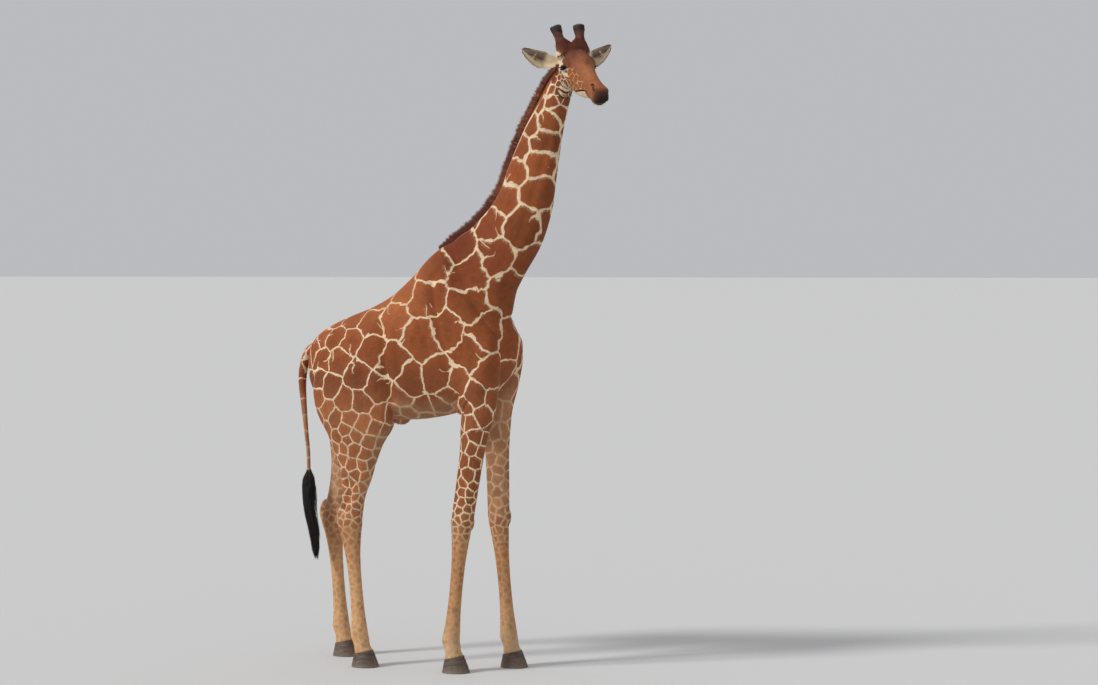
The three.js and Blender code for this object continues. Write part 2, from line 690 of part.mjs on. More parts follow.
export default model;
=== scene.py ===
# A reticulated giraffe, a young adult male, as a life-size still model for a museum floor.
# It stands at rest with its head turned to its right. Metres, +Z up, the body faces +X.

import functools
import math

import bmesh
import bpy
import numpy as np
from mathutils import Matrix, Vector


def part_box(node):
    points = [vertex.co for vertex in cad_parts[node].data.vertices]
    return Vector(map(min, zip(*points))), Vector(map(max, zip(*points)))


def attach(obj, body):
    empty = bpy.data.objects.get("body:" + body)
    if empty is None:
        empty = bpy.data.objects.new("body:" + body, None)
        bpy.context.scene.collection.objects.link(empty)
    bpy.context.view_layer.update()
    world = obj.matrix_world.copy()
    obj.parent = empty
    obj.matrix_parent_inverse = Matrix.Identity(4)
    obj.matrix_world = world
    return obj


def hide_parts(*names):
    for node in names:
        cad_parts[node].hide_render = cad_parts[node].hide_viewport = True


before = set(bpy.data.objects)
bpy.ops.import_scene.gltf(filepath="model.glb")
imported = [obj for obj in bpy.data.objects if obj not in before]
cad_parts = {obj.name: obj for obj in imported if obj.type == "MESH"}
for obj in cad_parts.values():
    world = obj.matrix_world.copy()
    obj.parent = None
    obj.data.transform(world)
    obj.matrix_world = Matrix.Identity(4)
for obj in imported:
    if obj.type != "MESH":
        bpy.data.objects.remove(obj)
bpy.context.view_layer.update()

# ------------------------------ the animal's own frame
# The body is set out from a point on the ground under its back, and the head from the middle
# of the line between its eyes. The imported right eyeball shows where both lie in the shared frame.

EYE_LINE = np.array([1.268, -0.122, 4.132])
EYE_IN_HEAD = np.array([0.002, 0.103, 0.002])       # of the left eye; the right has y turned over
EYE_RADIUS = 0.023
HEAD_TURN, HEAD_PITCH, HEAD_ROLL = -40, 27, 4.5


def turn_about(axis, degrees):
    """The matrix of a right-hand turn about an axis: its cosine and sine in the other two rows."""
    cosine, sine = math.cos(math.radians(degrees)), math.sin(math.radians(degrees))
    a, b = (axis + 1) % 3, (axis + 2) % 3
    matrix = np.eye(3)
    matrix[a, a] = matrix[b, b] = cosine
    matrix[a, b], matrix[b, a] = -sine, sine
    return matrix


HEAD_AXES = turn_about(2, HEAD_TURN) @ turn_about(1, HEAD_PITCH) @ turn_about(0, HEAD_ROLL)


def from_head(points):
    """Points of the head's frame, x to the muzzle and z to the brow, in the body's frame."""
    return EYE_LINE + np.asarray(points, float) @ HEAD_AXES.T


def to_head(points):
    """Points of the body's frame in the head's."""
    return (np.asarray(points, float) - EYE_LINE) @ HEAD_AXES


right_eye = sum(np.array(corner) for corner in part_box("eye_right")) / 2
SHIFT = right_eye - from_head(EYE_IN_HEAD * [1, -1, 1])

# ------------------------------ camera
# The eye of someone standing in the roof hatch of a car, 18 m off and ahead of the animal's side.

CAMERA_HEIGHT = 2.77
CAMERA_DISTANCE = 18.0
CAMERA_AZIMUTH = math.radians(25)
CAMERA_LENS = 84.4
CAMERA_LOOKS_DOWN = math.radians(1.61)
CAMERA_SLID_LEFT = -0.902          # the animal stands left of the middle of the view

view_right = Vector((math.cos(CAMERA_AZIMUTH), math.sin(CAMERA_AZIMUTH), 0))
view_ahead = Vector((-math.sin(CAMERA_AZIMUTH), math.cos(CAMERA_AZIMUTH), 0))
camera = bpy.data.objects.new("camera", bpy.data.cameras.new("camera"))
bpy.context.scene.collection.objects.link(camera)
camera.data.lens = CAMERA_LENS
camera.data.clip_end = 2000
camera.location = (
    Vector(SHIFT) - view_ahead * CAMERA_DISTANCE - view_right * CAMERA_SLID_LEFT
    + Vector((0, 0, CAMERA_HEIGHT))
)
look = view_ahead * math.cos(CAMERA_LOOKS_DOWN) - Vector((0, 0, math.sin(CAMERA_LOOKS_DOWN)))
camera.rotation_euler = look.to_track_quat("-Z", "Y").to_euler()
bpy.context.scene.camera = camera

# ------------------------------ skin
# One hide over the trunk, neck, head, ears, legs and the dock of the tail. Each form is a ring
# carried along a path; the forms are melted into one closed surface, relaxed and then shaped with
# muscles, folds, lids and lips. It lies inside the solids by the depth of the coat.

SKIN_GRAIN = 0.0062        # size of the cells that melt the forms together
SKIN_FACES = 124000
SKIN_ROUNDS = 45               # of smoothing
COAT_DEPTH = 0.006
FACE_COAT_DEPTH = 0.003

WITHERS, RUMP, BELLY, BARREL = 2.965, 2.440, 1.718, 0.300
LEG_SPREAD = 0.195
ELBOW, CARPUS, STIFLE, HOCK, FETLOCK, CORONET = 1.830, 1.035, 1.700, 0.985, 0.215, 0.095

FORWARD = np.array([1.0, 0.0, 0.0])


def unit(vectors):
    return vectors / np.maximum(np.linalg.norm(vectors, axis=-1, keepdims=True), 1e-9)


def ramp(low, high, values):
    """0 below low, 1 above high, and the cubic 3t^2 - 2t^3 between."""
    t = np.clip((values - low) / (high - low), 0, 1)
    return t * t * (3 - 2 * t)


def through(rows, t):
    """Uniform Catmull-Rom: cubics through the rows, each slope half the step between its neighbours."""
    rows = np.asarray(rows, float)
    last = len(rows) - 1
    i = np.clip(t.astype(int), 0, last - 1)
    f = (t - i)[:, None]
    b, c = rows[i], rows[i + 1]
    slope_b = (c - rows[np.maximum(i - 1, 0)]) / 2
    slope_c = (rows[np.minimum(i + 2, last)] - b) / 2
    return ((2 * f**3 - 3 * f**2 + 1) * b + (f**3 - 2 * f**2 + f) * slope_b
            + (3 * f**2 - 2 * f**3) * c + (f**3 - f**2) * slope_c)


def station(at, wide, up, down, square=2.0, pear=0.0, turn=0.0):
    """A ring's middle, half width, reach up and down, fullness of its corners, droop and turn."""
    return [*at, wide, up, down, square, pear, turn]


def rings_along(stations, rings, sides, facing=None, inset=COAT_DEPTH):
    """Super-ellipses square to a smooth path through the stations, as a grid of ring by side.
    A point is the middle, plus the leftward axis by a power of the cosine, plus the upward axis
    by the same power of the sine; the pear value widens the ring below and narrows it above."""
    t = np.linspace(0, len(stations) - 1, rings + 1)
    row = through(stations, t)
    middle = row[:, :3]
    wide, up_reach, down_reach, square, pear, turn = row[:, 3:].T
    ahead = through(stations, np.minimum(t + 0.01, len(stations) - 1))[:, :3]
    along = unit(ahead - through(stations, np.maximum(t - 0.01, 0))[:, :3])
    if facing is not None:
        along = np.broadcast_to(facing, along.shape)
    side = np.stack([-np.sin(turn), np.cos(turn), np.zeros_like(turn)], 1)
    up = unit(np.cross(along, side))
    side = np.cross(up, along)
    angle = np.linspace(0, 2 * np.pi, sides, endpoint=False)[None, :]
    power = (2 / square)[:, None]
    cosine, sine = np.cos(angle), np.sin(angle)
    across = np.sign(cosine) * np.abs(cosine) ** power * (1 - pear[:, None] * sine)
    reach = np.where(sine > 0, up_reach[:, None], down_reach[:, None]) - inset
    rise = reach * np.sign(sine) * np.abs(sine) ** power
    return (middle[:, None] + side[:, None] * ((wide - inset)[:, None] * across)[..., None]
            + up[:, None] * rise[..., None])


def closed_tube(grid):
    """Corners and triangles of a grid of rings, each end closed by a fan to its middle."""
    rings, sides = grid.shape[:2]
    corners = np.concatenate([grid.reshape(-1, 3), grid[0].mean(0)[None], grid[-1].mean(0)[None]])
    index = np.arange(rings * sides).reshape(rings, sides)
    a, b = index[:-1], np.roll(index, -1, 1)[:-1]
    c, d = np.roll(index, -1, 1)[1:], index[1:]
    walls = np.stack([a, b, c, a, c, d], -1).reshape(-1, 3)
    first, last = index[0], index[-1]
    start = np.stack([np.full(sides, rings * sides), np.roll(first, -1), first], 1)
    end = np.stack([np.full(sides, rings * sides + 1), last, np.roll(last, -1)], 1)
    return corners, np.concatenate([walls, start, end])


def joined(parts):
    """Several (corners, faces) pairs as one."""
    counts = np.cumsum([0] + [len(corners) for corners, _ in parts[:-1]])
    faces = [faces + count for (_, faces), count in zip(parts, counts)]
    return np.concatenate([corners for corners, _ in parts]), np.concatenate(faces)


def ball(at, half_sizes, tilt=0.0, sides=28):
    """An ellipsoid as rings from pole to pole: radius by the sine and height by the cosine."""
    polar = np.linspace(0.04, np.pi - 0.04, sides // 2)[:, None]
    angle = np.linspace(0, 2 * np.pi, sides, endpoint=False)[None, :]
    grid = np.stack(np.broadcast_arrays(
        np.sin(polar) * np.cos(angle), np.sin(polar) * np.sin(angle), np.cos(polar)), -1)
    grid = (grid * half_sizes) @ turn_about(1, math.degrees(tilt)).T
    return closed_tube(grid + at)


def mesh_object(name, corners, faces):
    """A smooth-shaded object from corners in the body's frame and faces of one size."""
    mesh = bpy.data.meshes.new(name)
    mesh.vertices.add(len(corners))
    mesh.vertices.foreach_set("co", np.asarray(corners + SHIFT, np.float32).ravel())
    count, size = faces.shape
    mesh.loops.add(count * size)
    mesh.loops.foreach_set("vertex_index", faces.astype(np.int32).ravel())
    mesh.polygons.add(count)
    mesh.polygons.foreach_set("loop_start", np.arange(0, count * size, size, dtype=np.int32))
    mesh.update(calc_edges=True)
    mesh.polygons.foreach_set("use_smooth", np.ones(count, bool))
    made = bpy.data.objects.new(name, mesh)
    bpy.context.scene.collection.objects.link(made)
    return made


def trunk_row(x, top, bottom, wide, middle, pear=0.0):
    """An upright ring of the trunk from its top and bottom, widest at a part of its height."""
    z = bottom + (top - bottom) * middle
    return station((x, 0, z), wide, top - z, z - bottom, square=2.15, pear=pear)


TRUNK = [trunk_row(*row) for row in (
    (-0.868, RUMP - 0.250, BELLY + 0.300, BARREL * 0.20, 0.50),
    (-0.835, RUMP - 0.165, BELLY + 0.200, BARREL * 0.38, 0.50),
    (-0.765, RUMP - 0.098, BELLY + 0.120, BARREL * 0.58, 0.50),
    (-0.640, RUMP - 0.032, BELLY + 0.060, BARREL * 0.78, 0.48),
    (-0.500, RUMP + 0.024, BELLY + 0.025, BARREL * 0.87, 0.46),
    (-0.340, RUMP + 0.084, BELLY + 0.005, BARREL * 0.92, 0.45),
    (-0.180, RUMP + 0.168, BELLY, BARREL * 0.97, 0.43),
    (-0.020, RUMP + 0.300, BELLY + 0.002, BARREL, 0.42),
    (0.130, WITHERS - 0.075, BELLY + 0.020, BARREL * 0.98, 0.42),
    (0.270, WITHERS, BELLY + 0.050, BARREL * 0.94, 0.44, 0.08),
    (0.400, WITHERS - 0.070, BELLY + 0.092, BARREL * 0.90, 0.45, 0.16),
    (0.530, WITHERS - 0.250, BELLY + 0.150, BARREL * 0.84, 0.46, 0.24),
    (0.650, WITHERS - 0.460, BELLY + 0.280, BARREL * 0.70, 0.48, 0.20),
    (0.752, WITHERS - 0.640, BELLY + 0.430, BARREL * 0.34, 0.50),
)]

# The neck from chest to poll: nape and throat as (x, z), half width, swing to the right, turn.
NECK_LINE = [
    ((0.070, 2.760), (0.560, 2.180), 0.190, 0.000, 0.00),
    ((0.262, 2.972), (0.690, 2.520), 0.172, 0.000, 0.00),
    ((0.400, 3.062), (0.790, 2.710), 0.150, 0.000, 0.00),
    ((0.545, 3.205), (0.905, 2.895), 0.134, 0.000, 0.00),
    ((0.640, 3.345), (0.985, 3.105), 0.121, 0.000, 0.00),
    ((0.695, 3.490), (1.024, 3.300), 0.109, 0.000, 0.00),
    ((0.754, 3.635), (1.064, 3.490), 0.099, 0.004, 0.10),
    ((0.822, 3.780), (1.104, 3.665), 0.091, 0.012, 0.25),
    ((0.908, 3.925), (1.156, 3.835), 0.084, 0.026, 0.50),
    ((0.996, 4.060), (1.200, 3.960), 0.080, 0.044, 0.80),
    ((1.092, 4.152), (1.236, 4.055), 0.070, 0.062, 1.00),
]


def neck_row(nape, throat, wide, swing, turned):
    half = math.dist(nape, throat) / 2
    at = ((nape[0] + throat[0]) / 2, -swing, (nape[1] + throat[1]) / 2)
    return station(at, wide, half, half, pear=0.12, turn=math.radians(HEAD_TURN) * turned)


NECK = [neck_row(*row) for row in NECK_LINE]

# Joints of each leg from shoulder blade or croup down to the coronet, right legs at -Y.
LEG_JOINTS = {
    "fore_right": [(0.300, -0.115, 2.740), (0.548, -0.187, 2.190), (0.553, -LEG_SPREAD, ELBOW),
                   (0.428, -LEG_SPREAD, CARPUS), (0.345, -LEG_SPREAD, FETLOCK),
                   (0.358, -LEG_SPREAD, CORONET)],
    "fore_left": [(0.290, 0.115, 2.740), (0.535, 0.187, 2.190), (0.494, LEG_SPREAD, ELBOW),
                  (0.518, LEG_SPREAD, CARPUS), (0.598, LEG_SPREAD, FETLOCK),
                  (0.615, LEG_SPREAD, CORONET)],
    "hind_right": [(-0.560, -0.105, 2.350), (-0.460, -0.155, 2.190), (-0.400, -0.183, STIFLE),
                   (-0.398, -LEG_SPREAD, 1.350), (-0.445, -0.205, HOCK),
                   (-0.360, -0.220, FETLOCK), (-0.338, -0.225, CORONET)],
    "hind_left": [(-0.560, 0.105, 2.350), (-0.480, 0.155, 2.190), (-0.596, 0.183, STIFLE),
                  (-0.690, 0.180, 1.350), (-0.800, 0.175, HOCK),
                  (-0.732, 0.175, FETLOCK), (-0.716, 0.175, CORONET)],
}

# A leg's rings: the joint above, how far on to the next, reach to the front and back, half width,
# and how far the ring stands ahead of the line between the joints.
FORE_RINGS = [
    (0, 0.00, 0.070, 0.090, 0.062, 0), (0, 0.35, 0.110, 0.135, 0.092, 0),
    (0, 0.70, 0.140, 0.165, 0.112, 0), (1, 0.00, 0.158, 0.175, 0.114, 0),
    (1, 0.50, 0.160, 0.165, 0.104, 0), (1, 1.00, 0.134, 0.128, 0.088, 0),
    (2, 0.20, 0.108, 0.110, 0.080, 0), (2, 0.42, 0.092, 0.090, 0.070, 0),
    (2, 0.64, 0.088, 0.086, 0.063, 0), (2, 0.84, 0.084, 0.084, 0.064, 0),
    (2, 1.00, 0.082, 0.080, 0.066, 0), (3, 0.14, 0.066, 0.068, 0.057, 0),
    (3, 0.32, 0.053, 0.055, 0.047, 0), (3, 0.54, 0.048, 0.050, 0.042, 0),
    (3, 0.76, 0.050, 0.054, 0.046, 0), (3, 0.92, 0.058, 0.064, 0.056, 0),
    (4, 0.00, 0.062, 0.070, 0.060, 0), (4, 0.50, 0.062, 0.060, 0.060, 0.004),
    (4, 1.00, 0.073, 0.062, 0.066, 0.006), (4, 1.30, 0.067, 0.058, 0.062, 0.006),
]
HIND_RINGS = [
    (0, 0.00, 0.060, 0.080, 0.040, 0), (0, 0.50, 0.110, 0.140, 0.082, 0),
    (1, 0.00, 0.175, 0.220, 0.104, 0), (1, 0.30, 0.250, 0.315, 0.118, 0),
    (1, 0.65, 0.296, 0.328, 0.120, 0), (1, 1.00, 0.280, 0.276, 0.112, 0),
    (2, 0.40, 0.208, 0.210, 0.095, 0), (2, 0.75, 0.158, 0.160, 0.081, 0),
    (2, 1.00, 0.128, 0.130, 0.072, 0), (3, 0.40, 0.091, 0.098, 0.061, 0),
    (3, 0.75, 0.086, 0.090, 0.057, 0), (3, 1.00, 0.090, 0.096, 0.058, 0),
    (4, 0.12, 0.074, 0.078, 0.053, 0), (4, 0.30, 0.056, 0.058, 0.045, 0),
    (4, 0.55, 0.050, 0.050, 0.041, 0), (4, 0.78, 0.052, 0.054, 0.045, 0),
    (4, 0.93, 0.058, 0.064, 0.055, 0), (5, 0.00, 0.062, 0.070, 0.058, 0),
    (5, 0.50, 0.062, 0.060, 0.058, 0.004), (5, 1.00, 0.073, 0.062, 0.064, 0.006),
    (5, 1.30, 0.067, 0.058, 0.060, 0.006),
]


def leg_stations(name):
    joints = np.array(LEG_JOINTS[name])
    rows = []
    for above, part, front, back, wide, shift in FORE_RINGS if "fore" in name else HIND_RINGS:
        at = joints[above] + (joints[above + 1] - joints[above]) * part
        rows.append(station((at[0] + shift, at[1], at[2]), wide, front, back))
    return rows


LEGS = {name: leg_stations(name) for name in LEG_JOINTS}


def leg_bones(name):
    """The bump behind the elbow and the carpus in front, or the point of the hock."""
    joints = np.array(LEG_JOINTS[name])
    if "fore" in name:
        return [ball(joints[2] + [-0.120, 0, 0.015], [0.056, 0.038, 0.066], 0.5),
                ball(joints[3] + [0.022, 0, 0.010], [0.066, 0.063, 0.090])]
    return [ball(joints[4] + [-0.062, 0, 0.055], [0.045, 0.031, 0.086], 0.15)]


# The midline of the mane from the withers to the poll, and its turn with the neck.
MANE = np.array([(0.160, 0.0, 2.908)]
                + [(nape[0], -swing, nape[1]) for nape, _, _, swing, _ in NECK_LINE[1:]])
MANE_TURN = [0.0] + [math.radians(HEAD_TURN) * turned for *_, turned in NECK_LINE[1:]]

TAIL = [station(*row) for row in (
    ((-0.815, 0.000, 2.232), 0.042, 0.040, 0.040),
    ((-0.893, 0.006, 2.186), 0.040, 0.036, 0.038),
    ((-0.942, 0.014, 2.092), 0.036, 0.032, 0.032),
    ((-0.962, 0.020, 1.980), 0.030, 0.028, 0.028),
    ((-0.952, 0.020, 1.820), 0.022, 0.022, 0.022),
    ((-0.932, 0.020, 1.620), 0.016, 0.016, 0.016),
    ((-0.914, 0.020, 1.440), 0.014, 0.014, 0.014),
    ((-0.912, 0.020, 1.310), 0.040, 0.044, 0.044),
    ((-0.911, 0.020, 1.200), 0.050, 0.056, 0.058),
    ((-0.908, 0.020, 1.060), 0.040, 0.044, 0.046),
    ((-0.872, 0.020, 0.920), 0.036, 0.042, 0.044),
    ((-0.858, 0.020, 0.800), 0.024, 0.030, 0.032),
    ((-0.855, 0.020, 0.685), 0.008, 0.012, 0.012),
)]


def head_row(x, top, bottom, wide, pear=0.0):
    z = (top + bottom) / 2
    return station((x, 0, z), wide, top - z, z - bottom, square=2.2, pear=pear)


SKULL = [head_row(*row) for row in (
    (-0.200, 0.020, -0.095, 0.050),
    (-0.160, 0.066, -0.132, 0.080),
    (-0.098, 0.104, -0.154, 0.098),
    (-0.030, 0.116, -0.160, 0.106),
    (0.042, 0.110, -0.156, 0.098, -0.12),
    (0.108, 0.090, -0.160, 0.082, -0.10),
    (0.175, 0.067, -0.147, 0.070, -0.06),
    (0.243, 0.050, -0.122, 0.061, -0.04),
    (0.310, 0.039, -0.102, 0.058),
    (0.368, 0.029, -0.092, 0.060),
    (0.414, 0.010, -0.084, 0.054),
    (0.443, -0.014, -0.066, 0.032),
)]


OSSICONE_LENGTH = 0.191
OSSICONE_PROFILE = np.array([(0, 0.062), (0.2, 0.050), (0.4, 0.038), (0.6, 0.033), (0.8, 0.038),
                             (0.93, 0.043), (1, 0.040)])


def ossicone_axes(side):
    """The root of an ossicone and its unit axes: along it, forward and to one side."""
    lean = unit(np.array([-0.7, side * 0.12, 0.62]))
    flat = unit(np.cross(lean, [0, 1.0, 0]))
    return np.array([-0.116, side * 0.062, 0.066]), lean, flat, np.cross(flat, lean)


def horn_root(side):
    """The hide that climbs an ossicone from the skull: a cone that narrows to a little under the
    horn's own width where the horn comes out of it."""
    root, lean, flat, wing = ossicone_axes(side)
    part = np.linspace(-0.15, 0.46, 30)
    radius = np.interp(part, *OSSICONE_PROFILE.T) - 0.0005 - 0.012 * ramp(0.34, 0.46, part)
    angle = np.linspace(0, 2 * np.pi, 40, endpoint=False)
    circle = flat * np.cos(angle)[:, None] + wing * np.sin(angle)[:, None]
    return closed_tube(root + lean * (part * OSSICONE_LENGTH)[:, None, None] + circle * radius[:, None, None])


def head_forms():
    """Skull with brow, cheek, nostril, crown, forehead boss and lips, in the body's frame."""
    def form(at, half_sizes, tilt=0.0):
        return ball(np.array(at), np.array(half_sizes) - FACE_COAT_DEPTH, tilt)

    grid = rings_along(SKULL, 90, 64, facing=FORWARD, inset=FACE_COAT_DEPTH)
    forms = [closed_tube(grid)]
    for side in (-1, 1):
        forms.append(horn_root(side))
        root, lean, _, _ = ossicone_axes(side)
        high, low = root + lean * OSSICONE_LENGTH * 0.5, np.array([-0.125, 0, 0.075])
        forms += [form(high + (low - high) * t, np.full(3, 0.030 + 0.015 * t))
                  for t in (0, 0.25, 0.5, 0.75, 1)]
        forms += [form((-0.008, side * 0.076, 0.034), (0.074, 0.040, 0.044)),
                  form((-0.055, side * 0.062, -0.082), (0.110, 0.042, 0.078), 0.2),
                  form((0.374, side * 0.036, -0.008), (0.046, 0.024, 0.030), 0.3)]
    forms += [form((-0.112, 0, 0.080), (0.074, 0.084, 0.048), -0.2),
              form((0.048, 0, 0.098), (0.080, 0.046, 0.030), 0.2),
              form((0.402, 0, -0.050), (0.043, 0.054, 0.036)),
              form((0.362, 0, -0.084), (0.062, 0.044, 0.025))]
    return [(from_head(corners), faces) for corners, faces in forms]


EAR_LENGTH, EAR_WIDTH, EAR_DROOP, EAR_CUP, EAR_BURIED = 0.240, 0.113, 0.024, 0.030, 0.040


def ear_axes(side):
    """The ear's root, and its unit axes along it, across it and out of its opening."""
    along = unit(np.array([-0.4, side, 0.29]))
    opening = np.array([0.85, side * 0.15, 0.3])
    opening = unit(opening - along * (opening @ along))
    return np.array([-0.118, side * 0.086, -0.012]), along, np.cross(along, opening), opening


def ear_shape(t):
    """Half width, depth of the cup and droop at a part t of the ear's length."""
    leaf = np.maximum(np.sin(np.pi * np.minimum(t * 0.93 + 0.07, 1) ** 0.8), 0) ** 0.75
    half = np.maximum(EAR_WIDTH / 2 * leaf, 0.007)
    bow = EAR_CUP * (1 - t) ** 0.6 * np.sin(np.pi * np.minimum(t + 0.25, 1)) + 0.004
    return half, bow, EAR_DROOP * np.sin(np.pi * t)


def ear_thickness(t):
    return 0.009 * (1 - t) + 0.0045


def ear_rim(side):
    """Points along both rims of an ear."""
    root, along, across, _ = ear_axes(side)
    steps = 40
    t = np.tile(np.linspace(0.30, 0.99, steps), 2)
    edge = np.repeat([-1, 1], steps)
    half, _, droop = ear_shape(t)
    return (root + along * (t * (EAR_LENGTH + EAR_BURIED))[:, None]
            + across * (edge * half + side * droop)[:, None])


def ear_form(side):
    """A leaf cupped round its length: on each ring two arcs, thick in the middle, meet at the rims."""
    root, along, across, opening = ear_axes(side)
    columns = 24
    t = np.linspace(0, 0.99, 60)[:, None]
    half, bow, droop = ear_shape(t)
    thick = ear_thickness(t)
    out = np.linspace(1, -1, columns, endpoint=False)
    part = np.concatenate([out, -out])[None, :]
    face = np.repeat([1.0, -1.0], columns)[None, :]
    rise = bow * (part**2 - 1) + face * thick * np.sqrt(np.maximum(1 - part**2, 0.03))
    grid = (root + along * (t * (EAR_LENGTH + EAR_BURIED))[..., None]
            + across * (part * (half - 0.002) + side * droop)[..., None] + opening * rise[..., None])
    corners, faces = closed_tube(grid)
    return from_head(corners), faces


forms = [closed_tube(rings_along(TRUNK, 150, 120, facing=FORWARD)),
         closed_tube(rings_along(NECK, 160, 90)),
         ball(np.array([-0.150, 0, BELLY + 0.015]), [0.074, 0.030, 0.046])]
for name in LEGS:
    forms.append(closed_tube(rings_along(LEGS[name], 200, 48, inset=COAT_DEPTH - 0.002)))
    forms += leg_bones(name)
DOCK_END = station((-0.911, 0.020, 1.180), 0.013, 0.013, 0.013)
forms.append(closed_tube(rings_along([*TAIL[:7], DOCK_END], 80, 24, inset=0.001)))
forms += head_forms()
forms += [ear_form(side) for side in (-1, 1)]

skin = mesh_object("skin", *joined(forms))


def with_modifier(piece, kind, **settings):
    """The piece's mesh after one modifier, put in place of its own."""
    modifier = piece.modifiers.new(kind.lower(), kind)
    for key, value in settings.items():
        setattr(modifier, key, value)
    graph = bpy.context.evaluated_depsgraph_get()
    made = bpy.data.meshes.new_from_object(piece.evaluated_get(graph))
    piece.modifiers.clear()
    old, piece.data = piece.data, made
    bpy.data.meshes.remove(old)


def read(elements, field, width, kind=np.float32):
    """One field of a mesh's corners, edges or faces, a row for each."""
    flat = np.empty(len(elements) * width, kind)
    elements.foreach_get(field, flat)
    return flat.reshape(-1, width)


def corners_of(mesh):
    """The mesh's corners in the body's frame."""
    return read(mesh.vertices, "co", 3).astype(float) - SHIFT


def put_corners(mesh, corners):
    mesh.vertices.foreach_set("co", np.asarray(corners + SHIFT, np.float32).ravel())
    mesh.update()


def edges_of(mesh):
    return read(mesh.edges, "vertices", 2, np.int32)


def relaxed(corners, edges, rounds, weight):
    """Taubin's smoothing: each round moves every corner half way to the mean of its neighbours and
    then a little more than half back, which rounds off creases and keeps the size."""
    count = np.bincount(edges.ravel(), minlength=len(corners))[:, None]
    ends = np.concatenate([edges[:, 0], edges[:, 1]])
    others = np.concatenate([edges[:, 1], edges[:, 0]])
    for _ in range(rounds):
        for pull in (0.5, -0.52):
            total = np.stack([np.bincount(ends, corners[others, k], len(corners)) for k in range(3)], 1)
            corners = corners + pull * weight * (total / count - corners)
    return corners


def in_head(corners):
    """1 on the head, falling to 0 behind the ears and jaw."""
    own = to_head(corners)
    return ramp(-0.05, 0.03, (own + [0.15, 0, 0.06]) @ np.array([0.8, 0, 0.6])) * (corners[:, 2] > 3.75)


EYES = [EYE_IN_HEAD * [1, side, 1] for side in (-1, 1)]


def refine(piece, near, reach, weights=1.0):
    """Halves the edges whose ends lie within reach of any of the points, in the head's frame."""
    own = to_head(corners_of(piece.data))
    close = np.min([np.linalg.norm((own - point) * weights, axis=1) for point in near], 0) < reach
    chosen = np.flatnonzero(close[edges_of(piece.data)].all(1))
    work = bmesh.new()
    work.from_mesh(piece.data)
    work.edges.ensure_lookup_table()
    bmesh.ops.subdivide_edges(work, edges=[work.edges[i] for i in chosen], cuts=1)
    bmesh.ops.triangulate(work, faces=work.faces)
    work.to_mesh(piece.data)
    work.free()


def triangles_of(mesh):
    mesh.calc_loop_triangles()
    return read(mesh.loop_triangles, "vertices", 3, np.int32)


def normals_of(corners, triangles):
    """Corner normals: the sum of the cross products of the triangles round each corner."""
    a, b, c = (corners[triangles[:, k]] for k in range(3))
    face = np.cross(b - a, c - a)
    ends = triangles.T.ravel()
    return unit(np.stack([np.bincount(ends, np.tile(face[:, k], 3), len(corners)) for k in range(3)], 1))


def swell(points, at, reach, height):
    """A bell: height times e to minus the squared distance from its middle, in units of reach."""
    return height * np.exp(-(((points - at) / reach) ** 2).sum(1))


def furrow(points, path, width, depth):
    """A rounded line pressed in, or raised where depth is below 0, along a smooth path."""
    line = through(path, np.linspace(0, len(path) - 1, 14 * len(path)))
    nearest = np.full(len(points), np.inf)
    close = np.abs(points - line.mean(0)).max(1) < np.ptp(line, axis=0).max() / 2 + 4 * width + 0.1
    for point in line:
        nearest[close] = np.minimum(nearest[close], np.linalg.norm(points[close] - point, axis=1))
    return -depth * np.exp(-((nearest / width) ** 2))


def flanked(rows, side):
    """A path given for the left side, on the side asked for."""
    return np.array(rows) * [1, side, 1]


# Bones, muscles and hollows of the left side, from the shoulder back: the width of each line, its
# rise, below 0 where it is pressed in, and its path.
TRUNK_LINES = [
    (0.035, 0.012, [(0.30, 0.17, 2.82), (0.40, 0.25, 2.55), (0.52, 0.30, 2.28)]),
    (0.036, -0.024, [(0.20, 0.22, 2.72), (0.27, 0.28, 2.45), (0.34, 0.29, 2.15), (0.37, 0.26, 1.92)]),
    (0.024, -0.012, [(0.11, 0.28, 2.46), (0.18, 0.29, 2.34), (0.23, 0.30, 2.18)]),
    (0.020, -0.009, [(0.42, 0.26, 2.50), (0.45, 0.28, 2.36), (0.47, 0.29, 2.22)]),
    (0.022, 0.009, [(0.38, 0.25, 2.52), (0.405, 0.28, 2.38), (0.42, 0.30, 2.22)]),
    (0.035, -0.010, [(0.44, 0.22, 2.75), (0.55, 0.26, 2.52), (0.64, 0.27, 2.35)]),
    (0.055, 0.016, [(0.66, 0.20, 2.35), (0.64, 0.28, 2.15), (0.60, 0.29, 1.98)]),
    (0.035, -0.012, [(0.47, 0.29, 2.25), (0.47, 0.30, 2.08), (0.45, 0.28, 1.90)]),
    (0.045, 0.016, [(-0.47, 0.20, 2.38), (-0.41, 0.26, 2.26), (-0.36, 0.29, 2.10)]),
    (0.034, -0.026, [(-0.20, 0.25, 2.40), (-0.15, 0.28, 2.25), (-0.12, 0.29, 2.06), (-0.10, 0.25, 1.86)]),
    (0.045, 0.012, [(-0.30, 0.25, 2.34), (-0.25, 0.28, 2.18), (-0.21, 0.29, 2.00)]),
    (0.024, 0.010, [(-0.08, 0.27, 2.36), (-0.055, 0.29, 2.24), (-0.045, 0.29, 2.12)]),
    (0.040, -0.010, [(-0.62, 0.22, 2.20), (-0.66, 0.26, 1.98), (-0.67, 0.26, 1.75)]),
]
RIBS = [(0.020, 0.0035, [(x + 0.05, 0.26, 2.45), (x, 0.31, 2.22), (x - 0.05, 0.30, 1.98)])
        for x in -0.08 + 0.075 * np.arange(6)]
